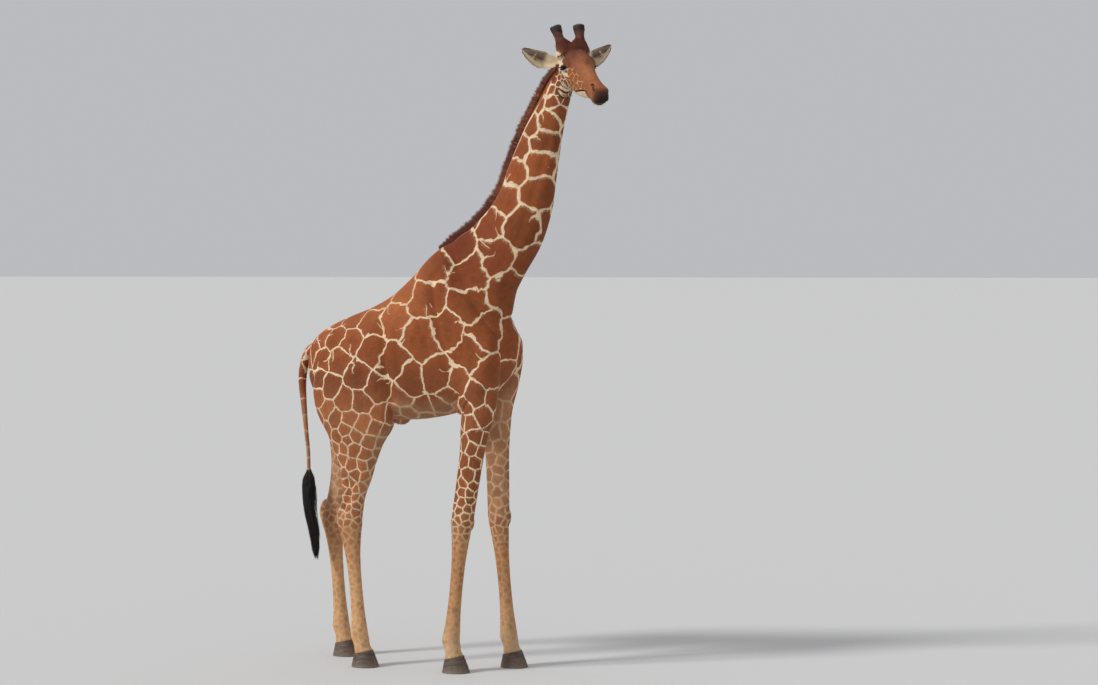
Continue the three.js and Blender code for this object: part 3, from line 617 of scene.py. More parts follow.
NECK_LINES = [
    (0.028, -0.007, [(0.62, 0.17, 2.72), (0.80, 0.14, 2.95), (0.90, 0.12, 3.20), (0.98, 0.10, 3.45),
                     (1.04, 0.085, 3.68)]),
    (0.030, 0.005, [(0.36, 0.16, 2.86), (0.55, 0.145, 3.02), (0.72, 0.125, 3.25), (0.80, 0.11, 3.50),
                    (0.88, 0.10, 3.72)]),
]


def body_relief(points):
    """Height of the hide over its forms: bones, muscles and folds of the trunk, neck and legs."""
    height = np.zeros(len(points))
    for side in (-1, 1):
        for width, rise, path in TRUNK_LINES + RIBS + NECK_LINES:
            height += furrow(points, flanked(path, side), width, -rise)
    folds = np.sin(points[:, 2] * 31 + 5 * points[:, 1]) * np.exp(-((points[:, 0] - 0.72) / 0.10) ** 2)
    height += 0.004 * folds * ramp(2.25, 2.40, points[:, 2]) * ramp(2.75, 2.60, points[:, 2])
    for name, joints in LEG_JOINTS.items():
        height += leg_relief(points, name, np.array(joints))
    return height


def leg_relief(points, name, joints):
    """Folds at the elbow, the knobs of carpus and hock, tendons and the fetlock of one leg."""
    side = np.sign(joints[2, 1])
    if "fore" in name:
        elbow, knee, fetlock, coronet = joints[2:]
        fold = [(-0.06, side * 0.07, 0.09), (-0.115, side * 0.045, 0.05), (-0.135, side * 0.04, -0.02)]
        height = furrow(points, elbow + fold, 0.014, -0.012)
        fold = [(-0.05, side * 0.075, 0.04), (-0.085, side * 0.06, 0.00), (-0.10, side * 0.05, -0.05)]
        height += furrow(points, elbow + fold, 0.012, 0.014)
        height += swell(points, knee + [0.045, side * 0.045, 0.035], 0.035, 0.006)
        height += swell(points, knee + [-0.055, side * 0.035, 0.010], 0.030, 0.007)
        height += swell(points, knee + [0.060, 0, -0.060], [0.03, 0.05, 0.02], -0.004)
        height += furrow(points, [elbow + [0.02, side * 0.085, -0.10], elbow + [-0.01, side * 0.08, -0.35],
                                  knee + [0.00, side * 0.06, 0.16]], 0.018, 0.006)
    else:
        stifle, gaskin, knee, fetlock, coronet = joints[2:]
        height = furrow(points, [stifle + [0.10, side * 0.12, -0.05], gaskin + [0.04, side * 0.08, 0.10],
                                 knee + [0.02, side * 0.06, 0.16]], 0.026, 0.008)
        hollow = [gaskin + [-0.045, side * 0.05, -0.06], gaskin + [-0.045, side * 0.05, -0.16],
                  knee + [-0.040, side * 0.045, 0.12]]
        height += furrow(points, hollow, 0.028, 0.026)
        height += swell(points, knee + [0.00, side * 0.055, 0.020], [0.04, 0.03, 0.045], 0.007)
        height += swell(points, knee + [0.065, 0, -0.010], [0.03, 0.04, 0.05], 0.004)
    for face in (-1, 1):
        groove = [knee + [-0.022, face * 0.050, -0.14], (knee + fetlock) / 2 + [-0.018, face * 0.040, 0],
                  fetlock + [-0.020, face * 0.050, 0.10]]
        height += furrow(points, groove, 0.010, 0.007)
        height += swell(points, fetlock + [-0.030, face * 0.045, 0.005], 0.030, 0.006)
    height += swell(points, coronet + [0.055, 0, 0.055], [0.05, 0.05, 0.022], -0.006)
    height += swell(points, fetlock + [-0.070, 0, -0.035], [0.03, 0.03, 0.018], -0.008)
    return height


# Weights that count distance mostly as seen from the side.
SIDE_ON = np.array([1, 0.12, 1])
# Left nostril, and left half of the mouth from the middle of the lips back to its corner.
NOSTRIL = np.array([(0.390, 0.036, 0.002), (0.378, 0.040, 0.009), (0.358, 0.043, 0.014),
                    (0.336, 0.043, 0.017), (0.320, 0.042, 0.016)])
MOUTH = np.array([(0.455, 0.000, -0.054), (0.432, 0.034, -0.063), (0.392, 0.050, -0.066),
                  (0.345, 0.054, -0.063), (0.300, 0.057, -0.053), (0.262, 0.058, -0.055),
                  (0.205, 0.060, -0.078), (0.150, 0.062, -0.106), (0.118, 0.064, -0.122)])

JAW_STRIPES = np.array([0.000, 0, -0.152])          # the middle of the dark stripes behind the jaw


def head_relief(own):
    """Height of the hide on the head: temples, cheek ridge, vein, nostrils, lips and wrinkles."""
    height = np.zeros(len(own))
    for side in (-1, 1):
        def line(rows, width, depth):
            return furrow(own, flanked(rows, side), width, depth)

        def side_line(rows, width, depth):
            mine = ramp(-0.004, 0.004, own[:, 1] * side)
            return mine * furrow(own * SIDE_ON, flanked(rows, side) * SIDE_ON, width, depth)

        height += swell(own, [-0.060, side * 0.095, 0.055], [0.035, 0.03, 0.030], -0.008)
        height += line([(0.020, 0.104, -0.036), (0.085, 0.088, -0.040),
                        (0.170, 0.070, -0.045)], 0.014, -0.007)
        height += line([(0.060, 0.085, 0.020), (0.120, 0.072, -0.005),
                        (0.200, 0.062, -0.020)], 0.016, 0.004)
        height += swell(own, [0.100, side * 0.070, -0.085], [0.070, 0.03, 0.030], -0.007)
        height += line([(0.030, 0.090, -0.075), (0.020, 0.088, -0.130),
                        (-0.020, 0.075, -0.165)], 0.012, 0.004)
        height += line([(-0.100, 0.096, 0.000), (-0.120, 0.096, -0.060),
                        (-0.110, 0.085, -0.125)], 0.014, 0.005)
        height += swell(own, [0.040, side * 0.100, 0.040], [0.030, 0.02, 0.014], 0.005)
        height += side_line(NOSTRIL, 0.0052, 0.0120)
        height += side_line(NOSTRIL + [0.006, 0, 0.013], 0.0075, -0.0045)
        height += side_line(NOSTRIL - [0.004, 0, 0.013], 0.0085, -0.0045)
        height += side_line(MOUTH, 0.0036, 0.0075)
        height += side_line(MOUTH[1:7] + [0, 0, 0.012], 0.0085, -0.0045)
        height += side_line(MOUTH[1:7] - [0, 0, 0.011], 0.0080, -0.0030)
    height += swell(own, [0.440, 0, -0.020], [0.020, 0.006, 0.030], -0.004)
    return height


EYE_HALF, LID_HIGH, LID_LOW, LID_DIP = 0.0195, 0.0120, 0.0092, -0.36
LID_BALL = EYE_RADIUS + 0.0014


def eye_axes(side):
    """The gaze of an eye, and square to it the axes forward and up."""
    gaze = unit(np.array([0.30, side, -0.04]))
    level = unit(np.cross(gaze, [0, 0, 1.0]))
    return gaze, side * level, np.cross(level, gaze)


def almond(own, side):
    """Where points lie by an eye: the ring they are on, 1 at the edge of the lids, by an ellipse
    whose upper half is higher and which rises to the front; the height over its long axis; the depth
    along the gaze, and the distance from it."""
    gaze, ahead, rise = eye_axes(side)
    offset = own - EYE_IN_HEAD * [1, side, 1]
    level, upright = offset @ ahead, offset @ rise
    high = upright + LID_DIP * level
    ring = np.sqrt((level / EYE_HALF) ** 2 + (high / np.where(high > 0, LID_HIGH, LID_LOW)) ** 2)
    return ring, high, offset @ gaze, np.hypot(level, upright)


def lidded(own):
    """Draws the hide over each eyeball: outside the almond it lies on the ball and slopes from there
    to the face, with a thick rim and a crease over it, and inside it sinks behind the ball."""
    for side in (-1, 1):
        gaze = eye_axes(side)[0]
        ring, high, deep, away = almond(own, side)
        near = (deep > -0.03) & (away < 0.05)
        held = near & (ring > 0.86) & (ring < 1.10)
        offset = own - EYE_IN_HEAD * [1, side, 1]
        flat = offset - gaze * deep[:, None]
        own = own + flat * np.where(held, 1 / np.maximum(ring, 0.1) - 1, 0)[:, None]
        ring, high, deep, away = almond(own, side)
        ball = np.sqrt(LID_BALL**2 - np.minimum(away, 0.8 * LID_BALL) ** 2)
        ball -= np.maximum(away - 0.8 * LID_BALL, 0)
        ball += 0.0028 * np.exp(-(((ring - 1.25) / 0.24) ** 2))
        ball -= np.where(high > 0, 0.0026, 0.0014) * np.exp(-(((ring - 1.95) / 0.22) ** 2))
        over = ball - deep
        lid = deep + (over + np.sqrt(over**2 + 0.004**2)) / 2
        aim = np.where(ring < 0.97, -0.004, lid)
        own = own + gaze * ((aim - deep) * near)[:, None]
    return own


def thin_ears(own):
    """Draws each ear's corners to the oval of its leaf, presses that toward its middle sheet to a
    third of its thickness, and folds ridges along its inside."""
    for side in (-1, 1):
        root, along, across, opening = ear_axes(side)
        offset = own - root
        t = (offset @ along) / (EAR_LENGTH + EAR_BURIED)
        half, bow, droop = ear_shape(np.clip(t, 0, 1))
        part = (offset @ across - side * droop) / half
        rise = offset @ opening - bow * (part**2 - 1)
        held = ramp(0.28, 0.44, t) * ramp(0.105, 0.13, own[:, 1] * side)
        oval = np.hypot(part, rise / ear_thickness(np.clip(t, 0, 1)))
        drawn = 1 + (1 / np.clip(oval, 0.6, 1.6) - 1) * held * ramp(0.99, 0.93, t)
        folds = 0.0028 * np.cos(part * 9) * ramp(1.0, 0.5, np.abs(part)) * ramp(1.0, 0.7, t) * (rise > 0)
        thin = rise * drawn * (1 - 0.64 * held) + folds * held + bow * ((part * drawn) ** 2 - 1)
        own = own + across * (part * (drawn - 1) * half)[:, None]
        own = own + opening * (thin - offset @ opening)[:, None] * (held > 0)[:, None]
    return own


with_modifier(skin, "REMESH", mode="VOXEL", voxel_size=SKIN_GRAIN)
corners = corners_of(skin.data)
headward = in_head(corners)
own = to_head(corners)
earward = ramp(0.115, 0.14, np.abs(own[:, 1])) * headward
behind_cheek = ramp(0.070, 0.085, np.abs(own[:, 1])) * ramp(-0.065, -0.085, own[:, 0])
earward = np.maximum(earward, behind_cheek * headward)
crownward = headward * ramp(0.055, 0.085, own[:, 2]) * ramp(0.02, -0.03, own[:, 0])
stiff = np.maximum(1 - 0.55 * headward, np.maximum(earward, crownward))
corners = relaxed(corners, edges_of(skin.data), SKIN_ROUNDS, stiff[:, None])
raised = body_relief(corners) * (1 - headward)
corners = corners + normals_of(corners, triangles_of(skin.data)) * raised[:, None]
put_corners(skin.data, corners)

group = skin.vertex_groups.new(name="thin_out")
plain = np.round(1 - np.maximum(headward, 0), 1)
for level in np.unique(plain):
    group.add([int(i) for i in np.flatnonzero(plain == level)], float(level), "REPLACE")
with_modifier(skin, "DECIMATE", ratio=min(1, SKIN_FACES / (2 * len(skin.data.polygons))),
              vertex_group="thin_out", vertex_group_factor=0.5, use_collapse_triangulate=True)
skin.vertex_groups.clear()

for reach in (0.048, 0.036, 0.027):
    refine(skin, EYES, reach)
refine(skin, [JAW_STRIPES], 0.055, SIDE_ON)
rims = np.concatenate([ear_rim(-1), ear_rim(1)])
for reach in (0.020, 0.010):
    refine(skin, rims, reach)
for reach in (0.016, 0.010):
    refine(skin, through(MOUTH, np.linspace(0, len(MOUTH) - 1, 36)), reach, SIDE_ON)
    refine(skin, through(NOSTRIL, np.linspace(0, len(NOSTRIL) - 1, 12)), reach, SIDE_ON)

triangles = triangles_of(skin.data)
corners = corners_of(skin.data)
headward = in_head(corners)
normals = normals_of(corners, triangles)
own = to_head(corners)
own_normals = normals @ HEAD_AXES
own = own + own_normals * (head_relief(own) * headward)[:, None]
own = lidded(own)
own = thin_ears(own)
corners = corners + (from_head(own) - corners) * (headward > 0.001)[:, None]
normals = normals_of(corners, triangles)
put_corners(skin.data, corners)


# Its markings: large brown patches with straight sides, parted by narrow cream lines. Every patch
# is the part of the hide nearest to its own middle, so a line is where two middles are equally
# near. The middles are spread over the hide, close together where the patches are small.

CREAM, TAN, BUFF = "#e8ceaa", "#d9b289", "#c0936a"
CHESTNUT, LIVER, RUFOUS = "#95502a", "#7c3a1d", "#ad6337"


def srgb(code):
    """A hex colour as linear red, green and blue: each part to the power 2.4 above its toe."""
    parts = np.array([int(code[i:i + 2], 16) / 255 for i in (1, 3, 5)])
    return np.where(parts > 0.04045, ((parts + 0.055) / 1.055) ** 2.4, parts / 12.92)


def waves(points, wavelength, seed, terms=8):
    """A smooth random height between about -1 and 1: sines along random directions, added up."""
    rng = np.random.default_rng(seed)
    total = np.zeros(len(points))
    for _ in range(terms):
        direction = unit(rng.normal(size=3)) * 2 * np.pi / (wavelength * rng.uniform(0.7, 1.5))
        total += np.sin(points @ direction + rng.uniform(0, 2 * np.pi))
    return total / math.sqrt(terms)


def limb_share(points):
    """1 on the legs, 0 on the trunk."""
    return ramp(2.05, 1.72, points[:, 2] - 0.10 * ramp(0.1, 0.3, points[:, 0]))


def cell_size(points):
    """How wide a patch of the coat is: about 0.27 m at the shoulder, 0.12 m by the head, 0.14 m on
    the haunch, and less and less down the legs."""
    x, _, z = points.T
    size = np.interp(x, [-0.90, -0.55, -0.15, 0.30], [0.125, 0.150, 0.195, 0.240])
    neck = np.interp(z, [2.60, 3.00, 3.50, 4.05], [0.235, 0.225, 0.170, 0.110])
    size = np.where(x > 0.20, np.minimum(neck, 0.240), size)
    leg = np.interp(z, [0.60, 0.95, 1.20, 1.50, 1.75, 2.05], [0.040, 0.045, 0.058, 0.078, 0.100, 0.145])
    size = size + (np.minimum(leg, size) - size) * limb_share(points)
    return size + (0.043 - size) * in_head(points)


def neck_middles():
    """Two columns of middles down each side of the neck, in rows that lie half a patch apart and
    grow from the head to the chest."""
    rings = rings_along(NECK, 160, 90)
    steps = np.linalg.norm(np.diff(rings.mean(1), axis=0), axis=1)
    down = np.append(0, np.cumsum(steps[::-1]))[::-1]
    places = []
    for side in (-1, 1):
        for column, turn in enumerate((50, 122)):
            far = 0.16 + 0.055 * column + 0.02 * side
            while far < 1.12:
                i = int(np.abs(down - far).argmin())
                angle = 90 - side * (turn + 6 * math.sin(far * 9 + column))
                places.append(rings[i, int(round(angle / 4)) % 90])
                far += 0.115 + 0.115 * far
    return np.array(places)


def spread_middles(points, given, seed, gap=0.80):
    """To the middles given, adds again and again the point that is farthest from all of them,
    counted in patch widths, until none is farther than the gap."""
    rng = np.random.default_rng(seed)
    points = points[rng.permutation(len(points))[:len(points) // 2]]
    size = cell_size(points)

    def away(place, wide):
        return np.linalg.norm(points - place, axis=1) / ((size + wide) / 2)

    nearest = np.min([away(*mark) for mark in zip(given, cell_size(given))], 0)
    chosen = []
    while nearest.max() > gap:
        i = int(nearest.argmax())
        chosen.append(i)
        nearest = np.minimum(nearest, away(points[i], size[i]))
    jitter = rng.uniform(-1, 1, (len(chosen), 3)) * 0.10 * size[chosen][:, None]
    return np.concatenate([given, points[chosen] + jitter])


def in_lots(find, points, lot=20000):
    """What a search finds for many points, a lot at a time so that its tables stay small."""
    return np.concatenate([find(points[i:i + lot]) for i in range(0, len(points), lot)])


def nearest_three(points, middles):
    """The three middles nearest to each point, from |p - m|^2 = |p|^2 - 2 p.m + |m|^2."""
    def find(lot):
        away = (middles**2).sum(1) - 2 * lot @ middles.T
        near = np.argpartition(away, 3, axis=1)[:, :3]
        order = np.argsort(np.take_along_axis(away, near, 1), 1)
        return np.take_along_axis(near, order, 1)

    return middles[in_lots(find, points)]


def past_line(points, threes):
    """How far inside its patch each point is: the least, over its two other middles, of half the
    difference of squared distances over the distance between the middles."""
    squares = ((points[:, None] - threes) ** 2).sum(2)
    gaps = np.linalg.norm(threes[:, 1:] - threes[:, :1], axis=2)
    return ((squares[:, 1:] - squares[:, :1]) / (2 * gaps)).min(1)


def draw_spurs(points, open_to, middles, seed):
    """Short thin lines that run from the border of a patch a part of the way to its middle."""
    rng = np.random.default_rng(seed)
    points = points[open_to]
    threes = nearest_three(points, middles)
    inside = past_line(points, threes)
    spurs = []
    for middle in middles:
        mine = np.flatnonzero((np.abs(threes[:, 0] - middle).max(1) < 1e-9))
        border = mine[inside[mine] < 0.012]
        if len(mine) < 60 or not len(border):
            continue
        for start in points[rng.choice(border, rng.choice([0, 1, 1, 2, 2]))]:
            across = middle - start
            aim = start + across * rng.uniform(0.35, 0.6) + rng.normal(size=3) * 0.22 * np.linalg.norm(across)
            end = points[mine[np.linalg.norm(points[mine] - aim, axis=1).argmin()]]
            length = np.linalg.norm(end - start)
            if length > 0.025:
                aim = start + (end - start) * min(1, 0.080 / length)
                end = points[mine[np.linalg.norm(points[mine] - aim, axis=1).argmin()]]
                spurs.append((start - (end - start) * 0.12, end))
    return np.array(spurs)


def nearest_spur(points, spurs):
    """For each point the spur whose start, end or middle is nearest to it."""
    def find(lot):
        away = [((lot[:, None] - mark) ** 2).sum(2) for mark in (spurs[:, 0], spurs[:, 1], spurs.mean(1))]
        return np.min(away, 0).argmin(1)

    return spurs[in_lots(find, points)]


def beside_mane(points):
    """How far each point of the nape is from the midline under the mane; far off, 1."""
    line = through(MANE, np.linspace(0, len(MANE) - 1, 220))
    turn = np.interp(np.linspace(0, len(MANE) - 1, 220), np.arange(len(MANE)), MANE_TURN)
    result = np.ones(len(points))
    close = np.flatnonzero((points[:, 2] > 2.8) & (np.abs(points[:, 1]) < 0.2))
    nearest = ((points[close, None] - line[None]) ** 2).sum(2).argmin(1)
    side = np.stack([-np.sin(turn), np.cos(turn), np.zeros(220)], 1)[nearest]
    offset = points[close] - line[nearest]
    near = (np.linalg.norm(offset, axis=1) < 0.07) & (nearest > 0) & (nearest < 219)
    result[close[near]] = np.abs((offset * side).sum(1))[near]
    return result


def painted(colour, layers):
    """Colours laid one over another: each layer is a hex colour and how much of it shows."""
    for code, amount in layers:
        colour = colour + (srgb(code) - colour) * np.clip(amount, 0, 1)[:, None]
    return colour


def near_path(points, path, width):
    """1 on a path and falling off as a bell of that width beside it."""
    return -furrow(points, path, width, 1.0)


def coat_colours(points, normals):
    """The cream between the patches, the brown of the patches, and the width, softness and broken
    look of the lines, at each corner of the hide. The colours carry painted light on top of the back
    and rump and on the lower hind legs, and painted shade low on the trunk and on the forward faces
    of chest and neck."""
    x, y, z = points.T
    bare = np.zeros((len(points), 3))
    side = np.sign(y)
    limb = limb_share(points)
    trunk = np.maximum(1 - limb, 0)
    hind = ramp(0.0, -0.25, x)
    amid = ramp(-0.50, -0.36, x) * ramp(0.46, 0.34, x) * ramp(2.1, 1.95, z)
    low_side = ramp(1.90, 1.79, z + 0.03 * waves(points, 0.25, 41)) * (np.abs(y) < 0.30)
    below = normals[:, 2]
    under = amid * np.maximum(ramp(-0.45, -0.85, below), low_side * ramp(-0.05, -0.35, below))
    lower = ramp(1.22, 0.78, z)
    inner = limb * ramp(0.15, -0.35, normals[:, 1] * side) * ramp(0.95, 1.15, z)
    back = ramp(2.25, 2.55, z) * ramp(0.35, -0.1, x)
    patch = painted(bare + srgb(CHESTNUT), [
        (LIVER, np.exp(-(((points - [0.30, 0, 2.95]) / [0.42, 1, 0.34]) ** 2).sum(1))),
        # Painted light: the patches on top of the back and rump are lighter and redder, as where light falls
        # from above; the tan of the lines there is their own colour.
        (RUFOUS, back),
        # Painted shade: the patches of the trunk darken toward its lower side.
        ("#80492c", trunk * ramp(2.20, 1.95, z) * 0.7),
        ("#9c5f3a", hind * limb), ("#8b5231", (1 - hind) * limb * 0.7),
        # Painted shade: patches on the chest and neck are darkened where they face forward.
        ("#6f3f27", 0.5 * ramp(0.1, 0.9, normals[:, 0]) * ramp(2.3, 2.7, z)),
        ("#a87c59", under * 0.75), ("#b0825d", inner * 0.8),
        ("#a9764c", lower), ("#b3875f", ramp(0.60, 0.30, z)), ("#bc9872", ramp(0.34, 0.14, z)),
        # Painted light: the patches of the lower hind legs are made paler, as where light falls on them.
        ("#c59264", hind * ramp(0.90, 0.60, z) * 0.8),
    ])
    ground = painted(bare + srgb(CREAM), [
        (TAN, back * 0.45), ("#cda985", hind * limb * 0.6), ("#cfb391", under),
        ("#c8a585", inner * 0.8), (BUFF, lower), ("#c49b72", ramp(0.60, 0.30, z)),
        # Painted light: the last layer on this line pales the lines of the lower hind legs.
        ("#c9a87f", ramp(0.34, 0.14, z)), ("#d8b083", hind * ramp(0.90, 0.60, z) * 0.8),
    ])
    half = 0.0088 + 0.0025 * ramp(2.7, 3.1, z) - 0.0026 * ramp(0.1, -0.5, x) * trunk - 0.0035 * limb
    soft = 0.0016 + 0.008 * under + 0.010 * lower + 0.006 * inner
    return ground, patch, half, soft


def head_colours(own, normals):
    """The same on the head: cream at temple, cheek and throat with small spots, brown over brow and
    nose, dark lips and nostrils with painted shade in the nostril slits and along the mouth, black
    rims to the eyes with a painted shadow of the lashes over them, and grey in the ears."""
    x, y, z = own.T
    y = np.abs(y)
    mirrored = own * [1, 0, 1] + np.stack([np.zeros_like(y), y, np.zeros_like(y)], 1)

    def spot(at, reach):
        return np.exp(-(((mirrored - at) / reach) ** 2).sum(1))

    border = np.interp(x, [-0.20, -0.07, -0.035, 0.00, 0.05, 0.135, 0.228, 0.262, 0.30],
                       [0.085, 0.075, 0.032, 0.026, 0.034, 0.024, -0.014, -0.036, -0.12])
    brow = ramp(-0.010, 0.012, z - border + 0.006 * waves(own, 0.05, 31))
    jaw = ramp(0.003, -0.003, z - np.interp(x, MOUTH[::-1, 0], MOUTH[::-1, 2])) * ramp(0.09, 0.13, x)
    chin = jaw * ramp(0.27, 0.33, x)
    flat = mirrored * [1, 0, 1]

    def fleck(at, reach):
        return ramp(0.30, 0.50, spot(at, [reach, 0.5, reach]) + 0.12 * waves(own, 0.02, 35))

    temple = np.maximum(spot([-0.086, 0.10, 0.002], [0.062, 0.09, 0.048]),
                        spot([0.012, 0.10, -0.034], [0.046, 0.05, 0.016]))
    temple = np.maximum(ramp(0.25, 0.45, temple + 0.06 * waves(own, 0.03, 33)),
                        ramp(0.100, 0.112, y) * ramp(-0.085, -0.060, z))
    flecks = np.max([fleck([x_at, 0.1, z_at], reach) for x_at, z_at, reach in (
        (-0.120, -0.030, 0.010), (-0.088, 0.042, 0.011), (-0.070, 0.056, 0.008), (-0.110, 0.052, 0.010),
        (-0.122, 0.020, 0.009), (-0.058, 0.026, 0.006), (-0.100, -0.060, 0.008))], 0)
    under_ear = spot([0.004, 0.09, -0.150], [0.037, 0.09, 0.055])
    striped = ramp(0.35, 0.60, under_ear + 0.05 * waves(own, 0.03, 37))
    cheek = ramp(0.02, 0.06, x) * ramp(-0.125, -0.10, z)
    cream = np.maximum(temple, striped)
    bare = np.zeros((len(own), 3))
    ground = painted(bare + srgb("#e3cba8"), [("#ead7b9", cream), ("#cf9f76", cheek * 0.75)])
    patch = painted(bare + srgb("#84482b"), [
        ("#96582f", cheek), ("#e5d0b0", cream), ("#6a3a25", flecks * (y < 0.118)),
        ("#e2caa6", jaw * (1 - chin))])
    solid = []
    for stripe in range(5):
        middle = np.array([0.014 - 0.007 * stripe, 0, -0.108 - 0.022 * stripe])
        path = [middle + [-0.022, 0, 0.016], middle, middle + [0.019, 0, -0.021]]
        dark = ramp(0.30, 0.62, near_path(flat, path, 0.0046)) * ramp(0.02, 0.04, y)
        solid.append(("#5a3020", dark))

    def beside(path, width):
        return near_path(mirrored * SIDE_ON, path * SIDE_ON, width)

    solid += [
        ("#93573a", brow), ("#b37046", brow * spot([0.21, 0.02, 0.05], [0.11, 0.03, 0.06]) * 0.85),
        ("#66382a", brow * ramp(0.10, 0.01, x) * 0.78),
        ("#55291b", ramp(0.02, -0.06, x) * ramp(0.075, 0.120, z)),
        ("#96583a", ramp(0.26, 0.32, x) * (1 - jaw)), ("#b0693f", beside(NOSTRIL, 0.020) * 0.7),
        ("#4b2c20", ramp(0.380, 0.425, x) * (1 - chin)), ("#2b1b15", ramp(0.425, 0.448, x)),
        ("#94663f", chin), ("#54382b", chin * ramp(0.37, 0.42, x)),
        # Painted shade: the nostril slits and the line of the mouth are painted near black.
        ("#1f130f", ramp(0.15, 0.65, beside(NOSTRIL, 0.0068))),
        ("#2c1a14", ramp(0.10, 0.60, beside(MOUTH, 0.0050))),
    ]
    ring, high = np.full(len(own), 9.0), np.zeros(len(own))
    for side in (-1, 1):
        mine = almond(own, side)
        here = (mine[2] > -0.03) & (mine[3] < 0.06)
        ring, high = np.where(here, mine[0], ring), np.where(here, mine[1], high)
    # Over each eye the dark brown is partly the lids' own dark skin and partly a painted shadow of the
    # lashes; the pale crescent under it and the black rim are the lids' own colours.
    solid += [("#4a2d22", ramp(2.7, 1.7, ring) * (high > 0)), ("#cdbda6", ramp(2.9, 2.1, ring) * (high <= 0)),
              ("#17110f", ramp(1.75, 1.35, ring))]
    for side in (-1, 1):
        root, along, across, opening = ear_axes(side)
        t = ((own - root) @ along) / (EAR_LENGTH + EAR_BURIED)
        half, _, droop = ear_shape(np.clip(t, 0, 1))
        low = side * ((own - root) @ across - side * droop) / half
        part = np.abs(low)
        ear = ramp(0.30, 0.40, t) * ramp(0.100, 0.120, own[:, 1] * side)
        inside = ear * ramp(-0.1, 0.3, normals @ opening)
        outside = ear - inside
        rim = ear * ramp(0.80, 0.95, part)
        marks = np.exp(-((t - 0.77) / 0.075) ** 2 - (low / 0.11) ** 2)
        marks = np.maximum(marks, np.exp(-((t - 0.575) / 0.045) ** 2 - ((low - 0.28) / 0.10) ** 2))
        pale_line = np.exp(-(((t - 0.635 - 0.06 * low) / 0.014) ** 2)) * ramp(0.60, 0.35, np.abs(low + 0.15))
        solid += [
            ("#d3b997", outside), ("#85573c", outside * ramp(0.1, 0.5, waves(own, 0.05, 5))),
            ("#836f61", inside), ("#dcc6a5", inside * ramp(-0.1, 0.45, low) * 0.92),
            ("#5e4a40", inside * np.exp(-(((low + 0.15) / 0.22) ** 2)) * ramp(0.85, 0.5, t)),
            ("#2f221c", inside * marks * 1.2), ("#d6c3a4", inside * pale_line),
            ("#c9b394", inside * ramp(0.42, 0.32, t) * 0.8),
            ("#5b4134", rim * ramp(0.6, 0.85, t)), ("#c2a98a", rim * ramp(0.8, 0.6, t)),
        ]
    ground, patch = painted(ground, solid), painted(patch, solid)
    return ground, patch, 0.0030 - 0.0012 * cheek, np.full(len(own), 0.0012)


def lie_of_coat(points):
    """The way the hair points: back along the trunk, down the neck and legs, from nose to ears on
    the head and out along the ears."""
    z = points[:, 2]
    down = np.array([-0.15, 0, -1.0])
    lie = np.tile(np.array([-1.0, 0, -0.35]), (len(points), 1))
    on_neck = ramp(2.7, 3.0, z) * ramp(0.1, 0.4, points[:, 0])
    lie += (unit(np.array([-0.45, 0, -1.0])) - lie) * on_neck[:, None]
    lie += (down - lie) * ramp(2.15, 1.75, z)[:, None]
    lie += (HEAD_AXES @ [-1.0, 0, -0.25] - lie) * in_head(points)[:, None]
    own = to_head(points)
    for side in (-1, 1):
        ear = ramp(0.100, 0.125, own[:, 1] * side) * in_head(points)
        lie += (HEAD_AXES @ ear_axes(side)[1] - lie) * ear[:, None]
    return lie


ATTRIBUTE_FIELDS = {"FLOAT": "value", "FLOAT_COLOR": "color", "FLOAT_VECTOR": "vector"}


def set_attribute(mesh, name, values, kind, domain="POINT"):
    layer = mesh.attributes.new(name, kind, domain)
    if kind == "FLOAT_COLOR":
        values = np.concatenate([values, np.ones((len(values), 1))], 1)
    layer.data.foreach_set(ATTRIBUTE_FIELDS[kind], np.ascontiguousarray(values, np.float32).ravel())


def marked(mesh, corner_values, face_values):
    """Gives a mesh what the hide's material reads."""
    for name, values in corner_values.items():
        many = "FLOAT_COLOR" if name in ("ground", "patch") else "FLOAT_VECTOR"
        set_attribute(mesh, name, values, "FLOAT" if values.ndim == 1 else many)
    for name, values in face_values.items():
        set_attribute(mesh, name, values, "FLOAT_VECTOR", "FACE")


size = cell_size(corners)
warp = np.stack([waves(corners, 0.17, k) for k in range(3)], 1) * 0.075
warp += np.stack([waves(corners, 0.06, 10 + k) for k in range(3)], 1) * 0.035
warp -= normals * (warp * normals).sum(1)[:, None]
marked_at = corners + warp * size[:, None]
middles = spread_middles(corners, neck_middles(), 7)
headward = in_head(corners)
open_to = (limb_share(corners) < 0.1) & (headward < 0.1) & (normals[:, 2] > -0.6)
spurs = draw_spurs(marked_at, open_to, middles, 8)
face_at = marked_at[triangles].mean(1)
threes = nearest_three(face_at, middles)
beside = nearest_spur(face_at, spurs)
coat = coat_colours(corners, normals)
head_coat = head_colours(to_head(corners), normals @ HEAD_AXES)
share = [headward[:, None], headward[:, None], headward, headward]
ground, patch, half, soft = (a + (b - a) * s for a, b, s in zip(coat, head_coat, share))
lie = lie_of_coat(corners)
lie = unit(lie - normals * (lie * normals).sum(1)[:, None])
skin_corners = {
    "marked_at": marked_at, "own_place": corners, "lie": lie, "ground": ground, "patch": patch,
    "line": np.stack([half, soft, beside_mane(corners)], 1), "up": np.full(len(corners), 0.5),
}
skin_faces = {"middle_a": threes[:, 0], "middle_b": threes[:, 1], "middle_c": threes[:, 2],
              "spur_from": beside[:, 0], "spur_to": beside[:, 1]}
marked(skin.data, skin_corners, skin_faces)


